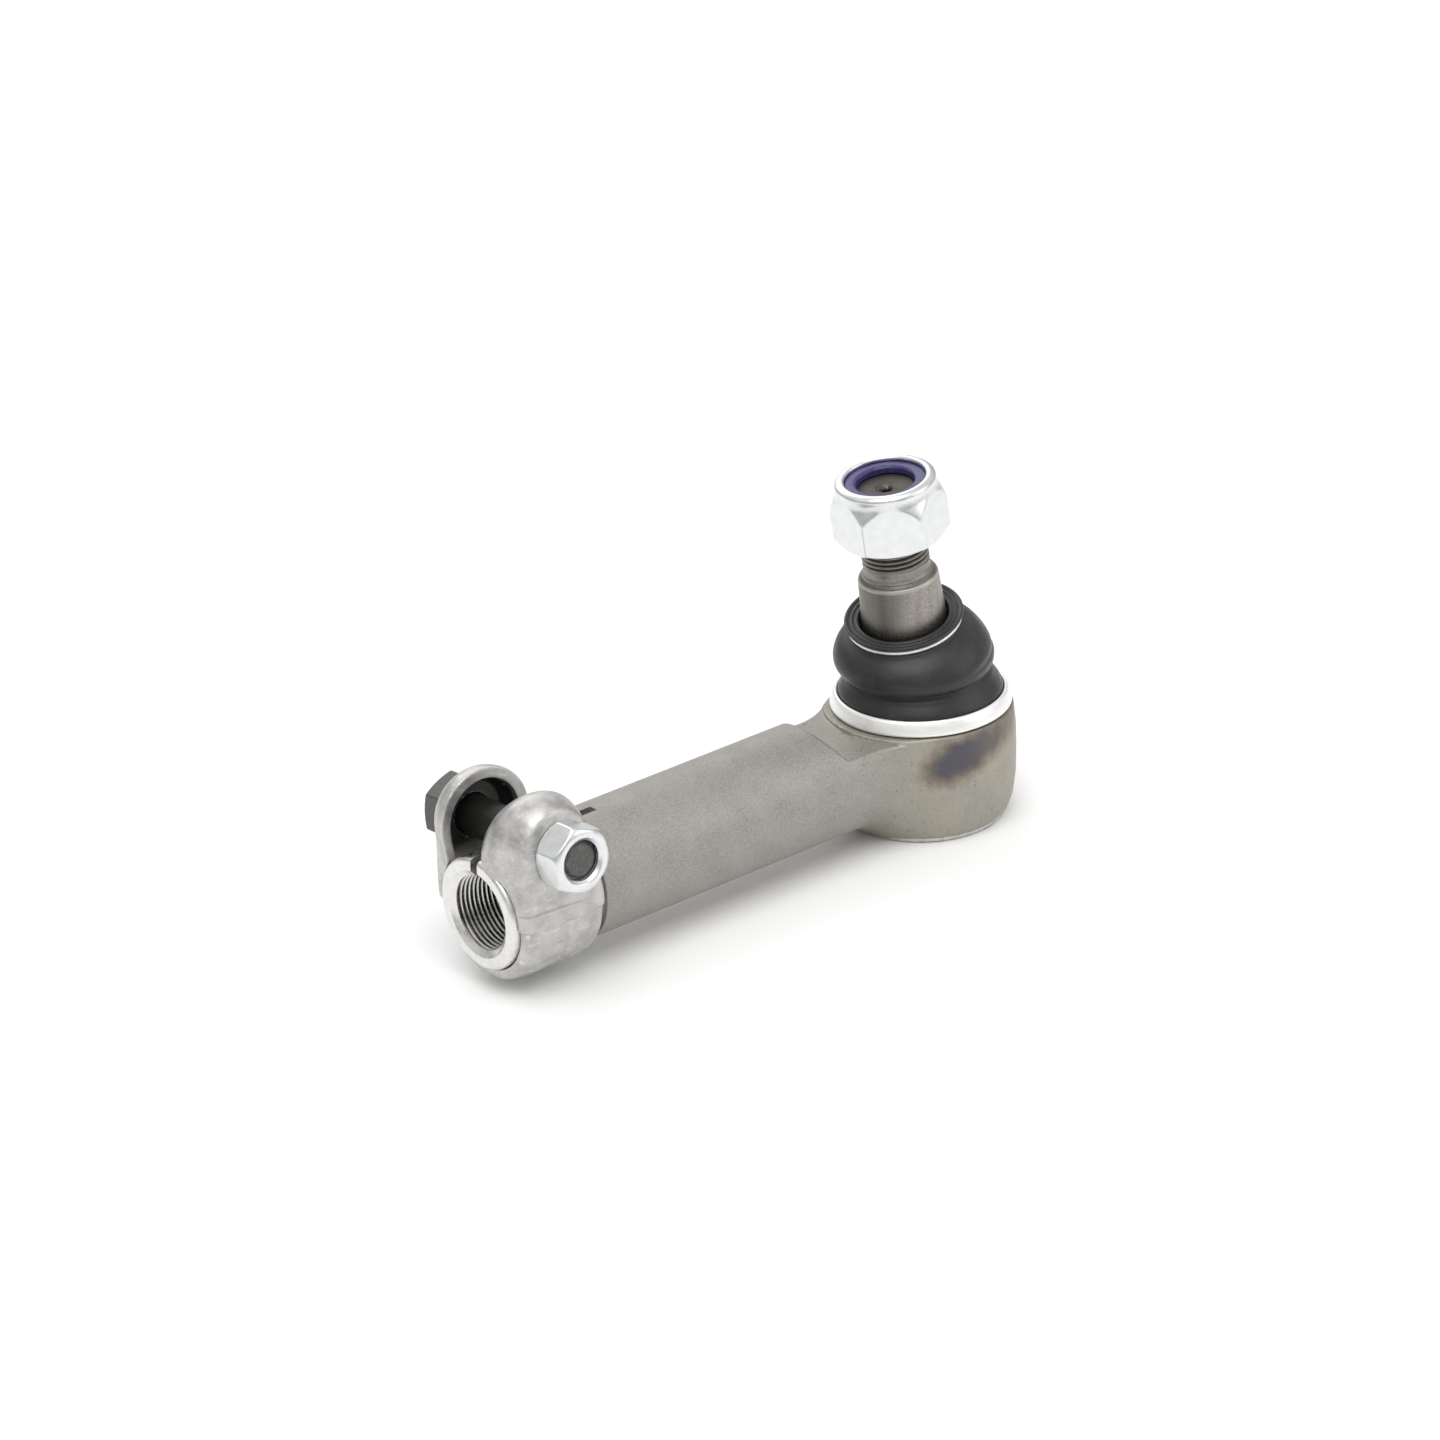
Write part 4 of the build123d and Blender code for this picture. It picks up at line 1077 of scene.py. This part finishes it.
def make_boot_rings():
    outline = [
        (24.6, 16.75), (26.9, 16.75, 0.15), (27.1, 17.3, 0.3), (26.6, 19.0), (25.9, 20.6, 0.5),
        (25.3, 21.15, 0.35), (24.75, 21.0, 0.2), (24.65, 18.0), (24.6, 16.75),
    ]
    band = lathe_part(rounded(outline), HEAD_DIR, segments=224)
    band = make_object("boot_lower_band", [band], [RING])
    place(band, "housing", "bright_ring", "boot_lower_ring")
    angle = np.linspace(0, TURN, 17)
    section = np.stack([WIRE_RING_R + WIRE_R * np.cos(angle), 0.05 + WIRE_R * np.sin(angle)], 1)
    wire = lathe_part(section, COLLAR_DIR, STUD_DIR * COLLAR_H)
    wire = make_object("boot_top_wire", [wire], [RING])
    place(wire, "boot_collar", "bright_ring", "boot_top_ring")


make_boot()
make_boot_rings()


# ---- closure plate, and CAD nodes that stay ----
def make_closure_plate():
    low = PLATE_LOW[2]
    outline = [
        (0.0, low + 0.62), (10.5, low + 0.62, 1.5), (12.6, low + 0.02, 1.2), (20.85, low),
        (20.85, low + 0.8), (19.5, low + 0.8), (19.5, PLATE_HIGH[2] - 0.02),
        (0.0, PLATE_HIGH[2] - 0.02),
    ]
    plate = make_object("closure_disc", [lathe_part(rounded(outline), HEAD_DIR)], [PLATE])
    place(plate, "housing", "turned_steel", "closure_plate")


make_closure_plate()
KEPT = {"upper_seat": POLYMER, "lower_seat": POLYMER}
KEPT.update({"preload_spring": SPRING, "closure_seal": RUBBER})
for node, material in KEPT.items():
    mesh = frame["nodes"][node].data
    mesh.materials.clear()
    mesh.materials.append(material)

# ---- floor, light and camera ----
FLOOR_Z = HOUSING_LOW[2] * MM - 0.0002


def floor_material():
    s = Shader("pale_floor")
    soft = s.noise(400, detail=2)
    s.set(Base_Color=s.mix(s.span(soft, 0.3, 0.7), (0.93, 0.93, 0.925), (0.94, 0.94, 0.94)))
    s.set(Roughness=0.85)
    return s.material


def make_floor():
    half = 6.0
    mesh = bpy.data.meshes.new("floor")
    signs = ((-1, -1), (1, -1), (1, 1), (-1, 1))
    corners = [(half * x, half * y, FLOOR_Z) for x, y in signs]
    mesh.from_pydata(corners, [], [(0, 1, 2, 3)])
    mesh.materials.append(floor_material())
    floor = add_object("floor", mesh)


def make_world():
    world_shader = bpy.data.worlds.new("studio")
    bpy.context.scene.world = world_shader
    world_shader.use_nodes = True
    tree = world_shader.node_tree
    background = tree.nodes["Background"]
    place_node = tree.nodes.new("ShaderNodeTexCoord")
    split = tree.nodes.new("ShaderNodeSeparateXYZ")
    ramp = tree.nodes.new("ShaderNodeValToRGB")
    tree.links.new(place_node.outputs["Generated"], split.inputs[0])
    tree.links.new(split.outputs["Z"], ramp.inputs[0])
    tree.links.new(ramp.outputs[0], background.inputs["Color"])
    for element, height, grey in zip(ramp.color_ramp.elements, (0.1, 0.6), (0.46, 1.0)):
        element.position = height
        element.color = (grey, grey, grey, 1)
    background.inputs["Strength"].default_value = 0.8


def area_light(name, position, target, size, power):
    light = bpy.data.lights.new(name, "AREA")
    light.shape = "DISK"
    light.size = size
    light.energy = power
    lamp = add_object(name, light)
    lamp.location = position
    lamp.rotation_euler = (Vector(target) - Vector(position)).to_track_quat("-Z", "Y").to_euler()


CAMERA_AZIMUTH, CAMERA_ELEVATION, CAMERA_ROLL = -38.611, 24.776, -2.792
CAMERA_DISTANCE = 1.6246                     # metres, as are the aim's offsets
CAMERA_LENS, CAMERA_SENSOR = 136.96, 36.0
AIM_RIGHT, AIM_UP = -0.059902, 0.004514


def make_camera():
    azimuth, elevation, roll = np.radians([CAMERA_AZIMUTH, CAMERA_ELEVATION, CAMERA_ROLL])
    flat = math.cos(elevation)
    back = np.array([math.sin(azimuth) * flat, -math.cos(azimuth) * flat, math.sin(elevation)])
    level = np.array([math.cos(azimuth), math.sin(azimuth), 0.0])
    upright = np.cross(back, level)
    right = math.cos(roll) * level + math.sin(roll) * upright
    up = -math.sin(roll) * level + math.cos(roll) * upright
    data = bpy.data.cameras.new("camera")
    data.lens = CAMERA_LENS
    data.sensor_width = CAMERA_SENSOR
    camera = add_object("camera", data)
    position = TUBE_CENTRE * MM + right * AIM_RIGHT + up * AIM_UP + back * CAMERA_DISTANCE
    turn = Matrix((right, up, back)).transposed()
    camera.matrix_world = Matrix.Translation(Vector(position)) @ turn.to_4x4()
    bpy.context.scene.camera = camera


make_floor()
make_world()
area_light("key", (-0.5, -0.5, 1.5), (-0.06, 0, 0), 1.4, 13)
area_light("fill", (0.9, -1.1, 0.7), (-0.06, 0, 0.02), 1.2, 4)
area_light("back", (0.3, 1.2, 0.9), (-0.06, 0, 0.02), 1.2, 5)
make_camera()
bpy.context.scene.view_settings.view_transform = "Standard"
